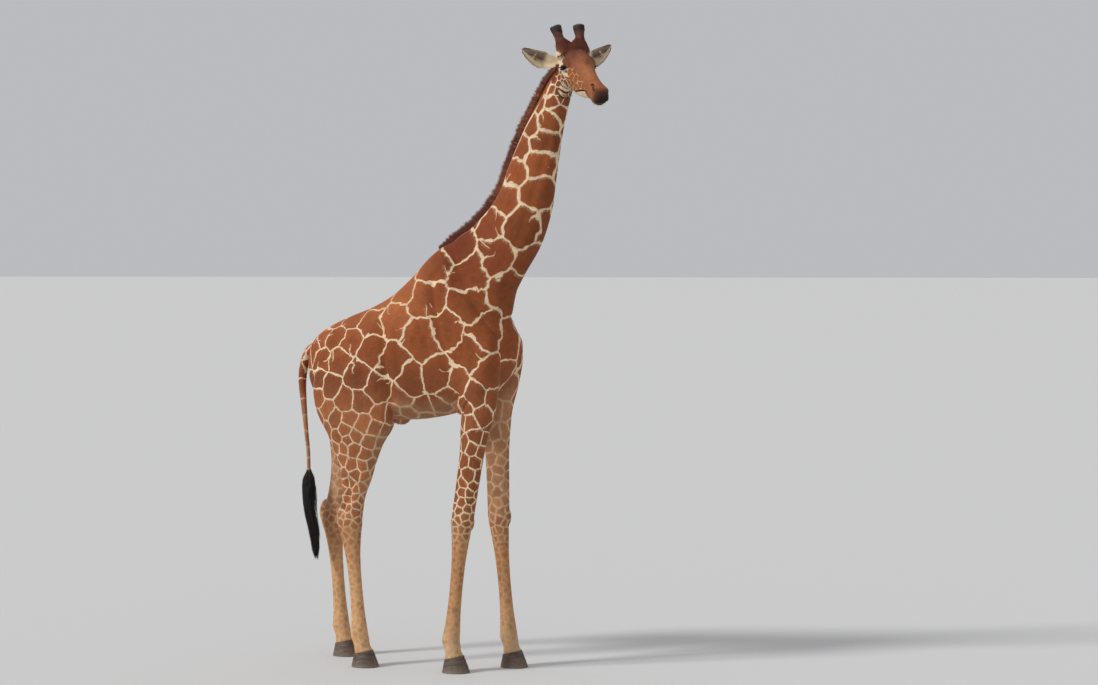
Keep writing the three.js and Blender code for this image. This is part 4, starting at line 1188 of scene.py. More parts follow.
def add(tree, kind, inputs=(), out=0, **settings):
    """Adds a node: its kind, then its operation or data type. The inputs in use take values or
    links, in order or by name. Returns one of the outputs in use."""
    kind, _, mode = kind.partition(" ")
    made = tree.nodes.new("ShaderNode" + kind)
    if mode:
        settings["data_type" if kind == "Mix" else "operation"] = mode
    for key, value in settings.items():
        setattr(made, key, value)
    inward, outward = ([socket for socket in ends if socket.enabled] for ends in (made.inputs, made.outputs))
    for key, value in (inputs if isinstance(inputs, dict) else dict(enumerate(inputs))).items():
        socket = made.inputs[key] if isinstance(key, str) else inward[key]
        if isinstance(value, bpy.types.NodeSocket):
            tree.links.new(value, socket)
        else:
            socket.default_value = value
    return made.outputs[out] if isinstance(out, str) else outward[out]


def new_material(name, **surface):
    """A material whose Principled surface takes the values given: returns it, a function that adds
    a node to it, and one that links a socket to its surface."""
    made = bpy.data.materials.new(name)
    made.use_nodes = True
    shader = made.node_tree.nodes["Principled BSDF"]
    for key, value in surface.items():
        shader.inputs[key.replace("_", " ").title().replace("Ior", "IOR")].default_value = value

    def show(colour, normal=None):
        made.node_tree.links.new(colour, shader.inputs["Base Color"])
        if normal:
            made.node_tree.links.new(normal, shader.inputs["Normal"])

    return made, functools.partial(add, made.node_tree), show


SPUR_HALF_WIDTHS = 0.0062, 0.0022                   # at the border and at the point
MANE_LINE_AT, MANE_LINE_HALF = 0.0245, 0.0046       # from the midline under the mane


def hide_material():
    """Short dense hair: brown patches and cream lines that the eye reads first, each patch of a
    slightly different brown, streaked along the lie of the hair, dull."""
    material, node, show = new_material("short giraffe hair", roughness=0.78, specular_ior_level=0.22)
    vectors = ["marked_at", "own_place", "lie", "line", *skin_faces]
    marks = {name: node("Attribute", out="Vector", attribute_name=name) for name in vectors}
    ground, patch = (node("Attribute", out="Color", attribute_name=name) for name in ("ground", "patch"))
    up = node("Attribute", out="Fac", attribute_name="up")

    # Each line runs where two middles are equally near: (D2^2 - D1^2) / 2 |m2 - m1| from the place.
    place = marks["marked_at"]
    for scale, reach in ((45.0, 0.007), (130.0, 0.0045)):
        ragged = node("TexNoise", {"Vector": place, "Scale": scale, "Detail": 1.0}, "Color")
        off = node("VectorMath SUBTRACT", [ragged, (0.5, 0.5, 0.5)])
        place = node("VectorMath ADD", [place, node("VectorMath SCALE", [off, reach])])
    middles = [marks["middle_" + letter] for letter in "abc"]
    distances = [node("VectorMath DISTANCE", [place, middle]) for middle in middles]
    squares = [node("Math MULTIPLY", [distance, distance]) for distance in distances]
    beyond = []
    for i, j in ((0, 1), (0, 2), (1, 2)):
        gap = node("VectorMath DISTANCE", [middles[i], middles[j]])
        difference = node("Math SUBTRACT", [squares[j], squares[i]])
        beyond.append(node("Math DIVIDE", [difference, node("Math MULTIPLY", [gap, 2.0])]))
    ab, ac, bc = beyond
    in_a = node("Math MINIMUM", [ab, ac])
    in_b = node("Math MINIMUM", [node("Math MULTIPLY", [ab, -1.0]), bc])
    in_c = node("Math MULTIPLY", [node("Math MAXIMUM", [ac, bc]), -1.0])
    edge = node("Math MAXIMUM", [node("Math MAXIMUM", [in_a, in_b]), in_c])
    own_middle = middles[2]
    for inside, middle in ((in_b, middles[1]), (in_a, middles[0])):
        own_middle = node("Mix VECTOR", [node("Math GREATER_THAN", [inside, 0.0]), own_middle, middle])
    half, soft, nape = node("SeparateXYZ", [marks["line"]]).node.outputs

    # A spur is a line from the border that thins to a point: its width falls with the part run.
    run = node("VectorMath SUBTRACT", [marks["spur_to"], marks["spur_from"]])
    gone = node("VectorMath SUBTRACT", [place, marks["spur_from"]])
    length_squared = node("VectorMath DOT_PRODUCT", [run, run])
    part = node("Math DIVIDE", [node("VectorMath DOT_PRODUCT", [gone, run]), length_squared], use_clamp=True)
    aside = node("VectorMath DISTANCE", [gone, node("VectorMath SCALE", [run, part])])
    slim = node("MapRange", [part, 0.0, 1.0, *SPUR_HALF_WIDTHS])
    spur = node("Math ADD", [node("Math SUBTRACT", [aside, slim]), half])

    # A thin cream line runs along each side of the mane, and the strip between them is plain brown.
    trim = node("Math ABSOLUTE", [node("Math SUBTRACT", [nape, MANE_LINE_AT])])
    trim = node("Math ADD", [node("Math SUBTRACT", [trim, MANE_LINE_HALF]), half])
    between = node("Math MULTIPLY", [node("Math LESS_THAN", [nape, MANE_LINE_AT - MANE_LINE_HALF]), 0.05])
    drawn = node("Math ADD", [node("Math MINIMUM", [edge, spur]), between])
    drawn = node("Math MINIMUM", [drawn, trim])
    low, high = node("Math SUBTRACT", [half, soft]), node("Math ADD", [half, soft])
    covered = node("MapRange", [drawn, low, high], interpolation_type="SMOOTHSTEP")

    # Brown differs from patch to patch and deepens a little toward the middle of each.
    tone = node("MapRange", [node("TexWhiteNoise", [own_middle]), 0.0, 1.0, 0.84, 1.14])
    tone = node("Math MULTIPLY", [tone, node("MapRange", [edge, 0.01, 0.08, 1.06, 0.93])])
    off_head = node("MapRange", [half, 0.0032, 0.0050])
    tone = node("Mix FLOAT", [off_head, 1.0, tone])
    colour = node("Mix RGBA", [covered, ground, node("VectorMath SCALE", [patch, tone])])

    # Streaks: noise squeezed across the hair and drawn out along it, from each patch's middle.
    at, lie = marks["own_place"], marks["lie"]
    along = node("VectorMath DOT_PRODUCT", [node("VectorMath SUBTRACT", [at, own_middle]), lie])
    pulled = node("VectorMath SCALE", [lie, node("Math MULTIPLY", [along, 0.88])])
    combed = node("VectorMath SUBTRACT", [at, pulled])
    streaks = node("TexNoise", {"Vector": combed, "Scale": 240.0, "Detail": 3.0})
    mottle = node("TexNoise", {"Vector": at, "Scale": 22.0, "Detail": 3.0})
    light = node("MapRange", [streaks, 0.25, 0.75, 0.80, 1.20])
    light = node("Math MULTIPLY", [light, node("MapRange", [mottle, 0.3, 0.7, 0.90, 1.08])])
    light = node("Math MULTIPLY", [light, node("MapRange", [up, 0.0, 1.0, 0.88, 1.12])])
    bump = node("Bump", {"Height": streaks, "Strength": 0.5, "Distance": 0.0016})
    show(node("VectorMath SCALE", [colour, light]), bump)
    return material


hide = hide_material()
skin.data.materials.append(hide)
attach(skin, "root")
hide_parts("trunk", "neck", "head", "jaw", "ear_right", "ear_left", "tail",
            *[name + part for name in LEGS for part in ("_upper", "_lower")])

# ------------------------------ short coat
# Short flat hair over the whole hide, as thin tufts of three-sided spikes that rise a few
# millimetres and lie along the body. Each tuft takes the colours of the hide at its root.

def locks(name, paths, widths, outward, patch_at, flat=0.45):
    """Closed three-sided spikes along paths of points that end in a tip. A ring's corners stand off
    its path by up to the width to each side and a part of it outward; the rings shrink to the tip.
    Returns the piece, and how far up its spike each corner of one spike is."""
    count, levels = paths.shape[:2]
    rings = levels - 1
    along = unit(np.diff(paths, axis=1))
    across = unit(np.cross(outward[:, None], along))
    out = np.cross(along, across)
    part = np.arange(rings) / rings
    wide = widths[:, None] * (1 - 0.75 * part**1.5)[None, :]
    angle = np.radians([90.0, 210.0, 330.0])
    ring = (paths[:, :rings, None] + across[:, :, None] * (wide[..., None] * np.cos(angle))[..., None]
            + out[:, :, None] * (flat * wide[..., None] * np.sin(angle))[..., None])
    corners = np.concatenate([ring.reshape(count, rings * 3, 3), paths[:, -1:]], 1)
    k = np.arange(3)
    after = (k + 1) % 3
    faces = [np.array([[0, 2, 1]])]
    for level in range(rings - 1):
        low, high = 3 * level, 3 * level + 3
        faces.append(np.stack([low + k, low + after, high + after], 1))
        faces.append(np.stack([low + k, high + after, high + k], 1))
    faces.append(np.stack([3 * (rings - 1) + k, 3 * (rings - 1) + after, np.full(3, 3 * rings)], 1))
    faces = np.concatenate(faces)
    per = rings * 3 + 1
    index = (np.arange(count)[:, None, None] * per + faces[None]).reshape(-1, 3)
    made = mesh_object(name, corners.reshape(-1, 3), index)
    offset = np.zeros((per, 2))
    level = np.append(np.repeat(np.arange(rings), 3), rings)
    offset[:, 1] = 0.0015 * (2 * level / rings - 1)
    offset[:-1, 0] = 0.0013 * np.tile(np.cos(angle), rings) * (1 - 0.8 * level[:-1] / rings)
    place = (patch_at[:, None] + offset[None]).reshape(-1, 2)
    layer = made.data.uv_layers.new(name="OFBake")
    layer.data.foreach_set("uv", np.asarray(place[index.ravel()], np.float32).ravel())
    return made, level / rings


def scatter(weight, count, seed):
    """Random places on the hide: a triangle by its weight, and a point by three even shares."""
    rng = np.random.default_rng(seed)
    face = rng.choice(len(triangles), count, p=weight / weight.sum())
    share = -np.log(rng.uniform(1e-6, 1, (count, 3)))
    return face, share / share.sum(1, keepdims=True)


def at_places(values, place):
    """A corner's values at scattered places."""
    face, share = place
    taken = values[triangles[face]]
    return (taken * (share if values.ndim == 1 else share[..., None])).sum(1)


def rooted(place):
    """The roots at scattered places, and the way out of the hide at each."""
    return at_places(corners, place), unit(at_places(normals, place))


def dress(made, up, place):
    """Gives each tuft the marks that the hide has at its root."""
    values = {name: np.repeat(at_places(skin_corners[name], place), len(up), 0)
              for name in ("marked_at", "lie", "ground", "patch", "line")}
    values["own_place"] = corners_of(made.data)
    values["up"] = np.tile(up, len(place[0]))
    faces_each = len(made.data.polygons) // len(place[0])
    marked(made.data, values, {name: np.repeat(rows[place[0]], faces_each, 0)
                               for name, rows in skin_faces.items()})
    made.data.materials.append(hide)


def round_axis(points, middle_y, middle_z):
    """The angle round a level axis, as a part of a turn."""
    return np.arctan2(points[:, 1] - middle_y, middle_z - points[:, 2]) / (2 * np.pi) + 0.5


def upright_axis(points, x, y):
    return np.arctan2(points[:, 1] - y, x - points[:, 0]) / (2 * np.pi) + 0.5


def unwrapped(points, region):
    """Where a root lies on the hide unrolled: along the body part one way and round it the other."""
    x, y, z = points.T
    if region == "trunk":
        return np.stack([(x + 1.0) / 1.95, round_axis(points, 0, 2.2)], 1)
    if region == "neck":
        nape_x = np.interp(z, [2.3, 2.95, 3.5, 4.3], [0.45, 0.55, 0.86, 1.17])
        return np.stack([(z - 2.2) / 2.2, upright_axis(points, nape_x, 0)], 1)
    if region == "head":
        own = to_head(points)
        ear = np.abs(own[:, 1]) > 0.115
        turn = np.arctan2(own[:, 1], own[:, 2] + 0.03) / (2 * np.pi) + 0.5
        on_head = np.stack([(own[:, 0] + 0.28) / 0.75 * 0.68, turn], 1)
        lengthwise = np.clip((np.abs(own[:, 1]) - 0.10) / 0.25, 0, 1)
        widthwise = np.clip((own[:, 0] + own[:, 2] * 0.5 + 0.30) / 0.4, 0, 1)
        on_ear = np.stack([0.72 + 0.25 * lengthwise, widthwise * 0.45 + 0.5 * (own[:, 1] > 0)], 1)
        return np.where(ear[:, None], on_ear, on_head)
    strip = (y > 0) * 0.5
    axis = np.zeros((len(points), 2))
    for left, name in enumerate((region + "_right", region + "_left")):
        joints = np.array(LEG_JOINTS[name])[::-1]
        mine = (y > 0) == bool(left)
        for k in range(2):
            axis[mine, k] = np.interp(z[mine], joints[:, 2], joints[:, k])
    return np.stack([z / 2.3, strip + 0.5 * upright_axis(points, axis[:, 0], axis[:, 1])], 1)


def patches_at(points, region, margin=0.02):
    """The same inside a margin of the map, where each tuft has its small patch."""
    return margin + (1 - 2 * margin) * np.clip(unwrapped(points, region), 0, 1)


def laid_flat(made, out):
    """Shades hair that lies on the hide as the hide itself: the normals of faces that look outward
    turn most of the way to the hide's own normal, and the others stay as they are."""
    faces = read(made.data.polygons, "normal", 3).astype(float)
    hide_out = np.repeat(out, len(faces) // len(out), 0)
    turned = 0.92 * ramp(0.0, 0.35, (faces * hide_out).sum(1))[:, None]
    made.data.normals_split_custom_set(np.repeat(unit(faces * (1 - turned) + hide_out * turned), 3, 0))


def tuft_paths(roots, lie, out, length, lift, seed, levels=2, droop=0.7, stray=0.25, sunk=0.0016):
    """Paths that leave the hide at the angle of lift and bend back toward it: outward by the lift
    times s less the droop times s squared, for a part s of the length."""
    rng = np.random.default_rng(seed)
    sideways = np.cross(out, lie)
    lie = unit(lie + sideways * (rng.normal(size=len(roots)) * stray)[:, None])
    s = np.linspace(0, 1, levels + 1)[None, :, None]
    rise = np.sin(lift)[:, None, None] * (s - droop * 0.5 * s**2)
    return (roots[:, None] + length[:, None, None] * (lie[:, None] * s * np.cos(lift)[:, None, None]
            + out[:, None] * rise) - out[:, None] * sunk)


def short_coat(name, region, weight, count, seed, slot):
    place = scatter(weight, count, seed)
    rng = np.random.default_rng(seed + 1)
    roots, out = rooted(place)
    long = at_places(tuft_length, place) * rng.uniform(0.75, 1.25, count)
    lifted = np.radians(at_places(tuft_lift, place) * rng.uniform(0.6, 1.5, count))
    paths = tuft_paths(roots, at_places(lie, place), out, long, lifted, seed + 2, levels=1, sunk=0.0008)
    wide = at_places(tuft_width, place) * rng.uniform(0.8, 1.2, count)
    made, up = locks(name, paths, wide, out, patches_at(roots, region, 0.01), 0.3)
    dress(made, up, place)
    laid_flat(made, out)
    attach(made, "root")


middle_of = corners[triangles].mean(1)
area = np.linalg.norm(np.cross(corners[triangles[:, 1]] - corners[triangles[:, 0]],
                               corners[triangles[:, 2]] - corners[triangles[:, 0]]), axis=1) / 2
face_own = to_head(middle_of)
on_head = in_head(middle_of) > 0.5
on_leg = (middle_of[:, 2] < 1.80) & ~on_head
on_leg &= (np.abs(middle_of[:, 1]) > 0.085) & ~((middle_of[:, 0] > -0.15) & (middle_of[:, 0] < 0.28))
on_tail = (middle_of[:, 0] < -0.80) & (np.abs(middle_of[:, 1]) < 0.08) & (middle_of[:, 2] < 2.25)
on_neck = (middle_of[:, 2] > 2.62) & (middle_of[:, 0] > 0.28) & ~on_head
on_trunk = ~(on_head | on_leg | on_neck | on_tail)
on_hind = middle_of[:, 0] <= 0.1
in_eye = np.any([np.abs(face_own - eye).max(1) < 0.03 for eye in EYES], 0)
count_scale = 1.0
over_horn = 1 + 7 * ramp(0.145, 0.125, middle_of[:, 2])

tuft_length = (0.021 - 0.006 * ramp(1.2, 0.8, corners[:, 2]) + 0.006 * ramp(0.145, 0.125, corners[:, 2])
               - 0.0125 * headward)
tuft_width = 0.00150 - 0.0003 * ramp(1.2, 0.8, corners[:, 2]) - 0.0008 * headward
tuft_lift = 6 + 4 * headward                        # degrees
fine = 1 / np.clip(0.25 + 1.6 * np.abs(face_own[:, 0] - 0.1), 0.25, 1)

for name, region, share, count, seed, slot in (
        ("coat_trunk", "trunk", on_trunk | on_tail, 46000, 11, "patched_coat"),
        ("coat_neck", "neck", on_neck, 38000, 21, "patched_coat"),
        ("coat_fore_legs", "fore", over_horn * (on_leg & ~on_hind), 24000, 31, "lower_leg"),
        ("coat_hind_legs", "hind", over_horn * (on_leg & on_hind), 32000, 41, "lower_leg"),
        ("coat_head", "head", fine * (on_head & ~in_eye), 44000, 51, "face")):
    short_coat(name, region, area * share, int(count * count_scale), seed, slot)

# ------------------------------ eyes
# Two large dark eyes under a wet clear film: a ball a little raised over the iris, with a level
# oval pupil in a brown-black iris. Each is set into its socket, held by the lids.

def eye(name, side):
    """Rings about the eye's axis. A corner lies out by the radius and by a low bell over the iris."""
    axis, ahead, rise = eye_axes(side)
    level = side * ahead
    polar = np.linspace(0.02, np.pi - 0.02, 56)[:, None]
    angle = np.linspace(0, 2 * np.pi, 72, endpoint=False)[None, :]
    radius = EYE_RADIUS + 0.0010 * np.exp(-((polar / 0.55) ** 2))
    grid = (radius * np.cos(polar) * np.ones_like(angle))[..., None] * axis
    grid = grid + (radius * np.sin(polar) * np.cos(angle))[..., None] * level
    grid = grid + (radius * np.sin(polar) * np.sin(angle))[..., None] * rise
    corners, faces = closed_tube(grid)
    made = mesh_object(name, from_head(corners + EYE_IN_HEAD * [1, side, 1]), faces)
    direction = unit(corners)
    seen = np.stack([direction @ level, direction @ rise, direction @ axis], 1)
    set_attribute(made.data, "on_eye", seen, "FLOAT_VECTOR")
    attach(made, "root")
    made.data.materials.append(wet)
    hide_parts(name.replace("ball", "eye"))


def eye_material():
    """Wet and very dark: the eye reads a black ball with one sharp highlight, brown where it is lit."""
    material, node, show = new_material("wet eye", roughness=0.03, ior=1.40)
    seen = node("Attribute", out="Vector", attribute_name="on_eye")
    across, rise, depth = node("SeparateXYZ", [seen]).node.outputs
    level, upright = (node("Math POWER", [node("Math DIVIDE", [node("Math ABSOLUTE", [value]), reach]), 2.0])
                      for value, reach in ((across, 0.36), (rise, 0.22)))
    beyond_pupil = node("MapRange", [node("Math ADD", [level, upright]), 0.85, 1.2])
    beyond_iris = node("MapRange", [depth, 0.62, 0.52])
    fibres = node("TexNoise", {"Vector": seen, "Scale": 14.0, "Detail": 4.0})
    pupil, dark_iris, iris, rim = ((*srgb(code), 1) for code in ("#050404", "#1d100b", "#3a2216", "#3b2b24"))
    colour = node("Mix RGBA", [beyond_pupil, pupil, node("Mix RGBA", [fibres, dark_iris, iris])])
    show(node("Mix RGBA", [beyond_iris, colour, rim]))
    return material


wet = eye_material()
for side, name in ((-1, "right"), (1, "left")):
    eye("ball_" + name, side)

# ------------------------------ hoofs
# Two claws of grey-brown horn to a foot, grown down from the coronet in low rings and worn flat
# below. They meet along a narrow cleft.

HOOF_LENGTH, HOOF_WIDTH, CLEFT = 0.215, 0.170, 0.007


def claw(name, leg, outward):
    """Rings from coronet to sole. The outer wall is a half super-ellipse that widens downward with
    low growth rings; the inner wall is nearly flat along the cleft and hollow toward the toe."""
    x, y, _ = LEG_JOINTS[leg][-1]
    depth = np.linspace(0, 1, 46)[:, None]
    turn = np.linspace(-np.pi / 2, np.pi / 2, 36)[None, :]
    low = np.minimum(depth * 1.04, 1)
    z = CORONET + 0.008 - (CORONET + 0.008) * low
    growth = 0.0004 * np.sin(low * 21 + 1.5 * np.sin(turn * 2)) + 0.0003 * np.sin(low * 47 + turn)
    worn = 1 - 0.045 * ramp(0.96, 1.0, low)
    ahead = HOOF_LENGTH / 2 * (0.648 + 0.352 * low) * worn + growth
    behind = HOOF_LENGTH / 2 * (0.54 + 0.26 * low) * worn + growth
    wide = (HOOF_WIDTH / 2 * (0.74 + 0.26 * low) - CLEFT / 2) * worn + growth
    length = np.where(turn > 0, ahead, behind)
    middle = x + 0.002 + 0.010 * low
    outer = np.stack(np.broadcast_arrays(
        middle + length * np.sign(np.sin(turn)) * np.abs(np.sin(turn)) ** (2 / 2.3),
        y + outward * (CLEFT / 2 + wide * np.cos(turn) ** (2 / 2.3)), z), -1)
    back = np.linspace(1, -1, 16)[1:-1][None, :]
    hollow = 0.006 * (1 - back**2) * (0.3 + 0.7 * ramp(-0.2, 1, back))
    reach = np.where(back > 0, ahead[:, -1:], behind[:, :1])
    inner = np.stack(np.broadcast_arrays(
        middle + reach * back, y + outward * (CLEFT / 2 + hollow), z), -1)
    grid = np.concatenate([outer, inner], 1)
    if outward > 0:
        grid = grid[:, ::-1]
    grid[..., 2] += 0.22 * (grid[..., 0] - x) * (1 - low)
    corners, faces = closed_tube(grid)
    made = mesh_object(name + "_horn", corners, faces)
    set_attribute(made.data, "down", np.append(np.repeat(low[:, 0], grid.shape[1]), [0, 1]), "FLOAT")
    made.data.materials.append(horn)
    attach(made, "root")
    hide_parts(name)


def horn_material():
    """Dull grey-brown horn, ringed and streaked, paler with dust and wear toward the sole."""
    material, node, show = new_material("hoof horn", roughness=0.55)
    place = node("TexCoord", out="Object")
    drawn = node("VectorMath MULTIPLY", [place, (1.0, 1.0, 0.07)])
    streaks = node("TexNoise", {"Vector": drawn, "Scale": 210.0, "Detail": 2.0})
    squat = node("VectorMath MULTIPLY", [place, (0.15, 0.15, 1.0)])
    bands = node("TexNoise", {"Vector": squat, "Scale": 60.0, "Detail": 1.0})
    grown_horn = node("Mix FLOAT", [0.42, streaks, bands])
    dark, pale, dust = ((*srgb(code), 1) for code in ("#382c24", "#6b5848", "#9b8a75"))
    colour = node("Mix RGBA", [node("MapRange", [grown_horn, 0.35, 0.65]), dark, pale])
    down = node("Attribute", out="Fac", attribute_name="down")
    dusty = node("Math MULTIPLY", [node("Math POWER", [down, 3.0]), 0.45])
    bump = node("Bump", {"Height": grown_horn, "Strength": 0.5, "Distance": 0.0015})
    show(node("Mix RGBA", [dusty, colour, dust]), bump)
    return material


horn = horn_material()
for leg in LEGS:
    side = -1 if leg.endswith("right") else 1
    claw(leg + "_hoof_outer", leg, side)
    claw(leg + "_hoof_inner", leg, -side)

# ------------------------------ ossicones
# Two blunt horns of bone under hide, thick at the root and knobbed at the flat top. Short hair
# covers them, and a ragged ring of longer black hair stands round each bald top.

def plain_hair_material(name, dark, light, roughness=0.6, scale=300.0, tip=None):
    """Hair of one kind: streaks between a dark and a light tone, and the tips a tone of their own."""
    material, node, show = new_material(name, roughness=roughness)
    streaks = node("TexNoise", {"Vector": node("TexCoord", out="Object"), "Scale": scale, "Detail": 3.0})
    dark, light, tip = ((*srgb(code), 1) for code in (dark, light, tip or light))
    fibre = node("Mix RGBA", [node("MapRange", [streaks, 0.35, 0.65]), dark, light])
    up = node("Attribute", out="Fac", attribute_name="up")
    bump = node("Bump", {"Height": streaks, "Strength": 0.4, "Distance": 0.001})
    show(node("Mix RGBA", [node("Math POWER", [up, 2.0]), fibre, tip]), bump)
    return material


def grown(name, roots, lie, out, length, wide, lift, seed, patches, material,
          levels=3, droop=0.2, stray=0.25):
    """Longer hair of one colour: spikes on roots given, as one piece."""
    paths = tuft_paths(roots, lie, out, length, lift, seed, levels, droop, stray)
    made, up = locks(name, paths, wide, out, patches)
    set_attribute(made.data, "up", np.tile(up, len(roots)), "FLOAT")
    made.data.materials.append(material)
    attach(made, "root")
    return made


horn_hide = plain_hair_material("dark hair of the ossicones", "#4e2618", "#6a3522", 0.75, 90.0, "#33201a")
black_hair = plain_hair_material("black hair", "#120d0b", "#2a201b", 0.5, 300.0, "#1b1512")


def ossicone(name, side):
    """A core of rings of the profile's radius, knobbed by waves and narrower inside the hide, and
    round it short hair and the ring of black hair."""
    root, lean, flat, wing = ossicone_axes(side)
    part = np.concatenate([np.linspace(0, 0.985, 60), [0.995, 1.0, 1.0, 1.0]])
    radius = np.interp(part, *OSSICONE_PROFILE.T) - 0.0035 - 0.006 * ramp(0.29, 0.20, part)
    radius[-4:] *= [0.94, 0.84, 0.6, 0.25]
    radius = np.convolve(np.pad(radius, 3, "edge"), np.ones(7) / 7, "valid")
    angle = np.linspace(0, 2 * np.pi, 72, endpoint=False)
    circle = flat * np.cos(angle)[:, None] + wing * np.sin(angle)[:, None]
    middle = root + lean * (part * (OSSICONE_LENGTH - 0.006))[:, None]
    grid = middle[:, None] + circle[None] * radius[:, None, None]
    flat_grid = grid.reshape(-1, 3)
    knobs = 0.0018 * waves(flat_grid, 0.035, 60 + side) + 0.0007 * waves(flat_grid, 0.012, 70 + side)
    grid = (flat_grid + np.tile(circle, (len(part), 1)) * knobs[:, None]).reshape(grid.shape)
    corners, faces = closed_tube(grid)
    made = mesh_object(name + "_core", from_head(corners), faces)
    set_attribute(made.data, "up", np.append(np.repeat(ramp(0.62, 0.82, part), 72), [0, 1]), "FLOAT")
    made.data.materials.append(horn_hide)
    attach(made, "root")
    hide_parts(name)
    rng = np.random.default_rng(80 + side)
    for kind, count, low, high, size, width, lifted, hair in (
            ("hair", 6000, 0.32, 0.88, 0.011, 0.0007, 8, horn_hide),
            ("fringe", 4200, 0.72, 0.985, 0.013, 0.0007, 12, black_hair)):
        count = int(count * count_scale)
        t = rng.uniform(low, high, count)
        turn = rng.uniform(0, 2 * np.pi, count)
        outward = flat * np.cos(turn)[:, None] + wing * np.sin(turn)[:, None]
        reach = np.interp(t, *OSSICONE_PROFILE.T) - 0.0035
        roots = root + lean * (t * (OSSICONE_LENGTH - 0.006))[:, None] + outward * reach[:, None]
        up = np.broadcast_to(lean, roots.shape)
        patches = np.stack([0.02 + 0.96 * t, 0.02 + 0.96 * turn / (2 * np.pi)], 1)
        tufts = grown(f"{name}_{kind}", from_head(roots), up @ HEAD_AXES.T, outward @ HEAD_AXES.T,
                      size * rng.uniform(0.6, 1.2, count), np.full(count, width),
                      np.radians(lifted * rng.uniform(0.5, 1.5, count)), 90 + side, patches, hair,
                      2, 0.5)
        laid_flat(tufts, outward @ HEAD_AXES.T)
        if kind == "hair":
            dark = np.repeat(ramp(0.62, 0.82, t), len(tufts.data.vertices) // count)
            tufts.data.attributes["up"].data.foreach_set("value", dark.astype(np.float32))


for side, name in ((-1, "ossicone_right"), (1, "ossicone_left")):
    ossicone(name, side)

# ------------------------------ mane
# Stiff hair that stands up in one strip from the poll to the withers, in small clumps, so that its
# edge is notched. Brown, darker at the root, with clumps that differ in tone.

MANE_HEIGHT = 0.058


def mane_hair():
    rng = np.random.default_rng(101)
    count = int(8900 * count_scale)
    line = np.array(MANE)
    t = rng.uniform(0.15, len(line) - 1.05, count)
    at = through(line, t)
    ahead = unit(through(line, t + 0.03) - through(line, t - 0.03))
    turn = np.interp(t, np.arange(len(line)), MANE_TURN)
    side = np.stack([-np.sin(turn), np.cos(turn), np.zeros(count)], 1)
    up = unit(np.cross(ahead, side))
    risen = np.sin(np.pi * np.minimum((t + 0.5) / 5, 0.5)) * (1 - 0.04 * t)
    clump = np.floor(t * 14 + 0.9 * np.sin(t * 5.3) + 0.5 * np.sin(t * 17))
    own_lean, own_size = (np.random.default_rng(k).uniform(-1, 1, 400)[clump.astype(int)] for k in (5, 6))
    off = rng.normal(0, 0.0055, count).clip(-0.012, 0.012)
    high = (0.006 + MANE_HEIGHT * risen) * (1 + 0.14 * own_size) * rng.uniform(0.72, 1.04, count)
    lean = unit(up + ahead * (0.06 * own_lean - 0.22 + rng.normal(0, 0.06, count))[:, None]
                + side * (off * 9)[:, None])
    buried = 0.022
    roots = at + side * off[:, None] - up * buried
    s = np.linspace(0, 1, 5)[None, :, None]
    path = roots[:, None] + lean[:, None] * s * (high + buried)[:, None, None]
    patches = np.stack([0.02 + 0.96 * t / 10, 0.5 + off * 30], 1)
    wide = rng.uniform(0.0010, 0.0017, count)
    made, rise = locks("mane_hair", path, wide, side, patches, 0.7)
    tone = np.clip(0.5 + 0.5 * waves(at, 0.22, 3) + 0.3 * own_lean, 0, 1)
    set_attribute(made.data, "up", np.tile(rise, count), "FLOAT")
    set_attribute(made.data, "tone", np.repeat(tone, len(rise)), "FLOAT")
    return made


def mane_material():
    """Stiff brown hair, dark and dense at the root and lighter to the ends; clumps differ in tone."""
    material, node, show = new_material("stiff mane hair", roughness=0.6)
    tone = node("Attribute", out="Fac", attribute_name="tone")
    up = node("Attribute", out="Fac", attribute_name="up")
    dark, light, tip = ((*srgb(code), 1) for code in ("#74361f", "#a65c36", "#6b4029"))
    brown = node("Mix RGBA", [node("MapRange", [tone, 0.25, 0.85]), dark, light])
    ended = node("Mix RGBA", [node("Math POWER", [up, 3.0]), brown, tip])
    streaks = node("TexNoise", {"Vector": node("TexCoord", out="Object"), "Scale": 320.0})
    show(node("VectorMath SCALE", [ended, node("MapRange", [streaks, 0.3, 0.7, 0.75, 1.2])]))
    return material


mane = mane_hair()
mane.data.materials.append(mane_material())
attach(mane, "root")
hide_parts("mane")

# ------------------------------ tail tuft
# A long tassel of coarse black hair on the end of the dock. The locks start round the dock, swell,
# and hang in loose waves to one ragged end.

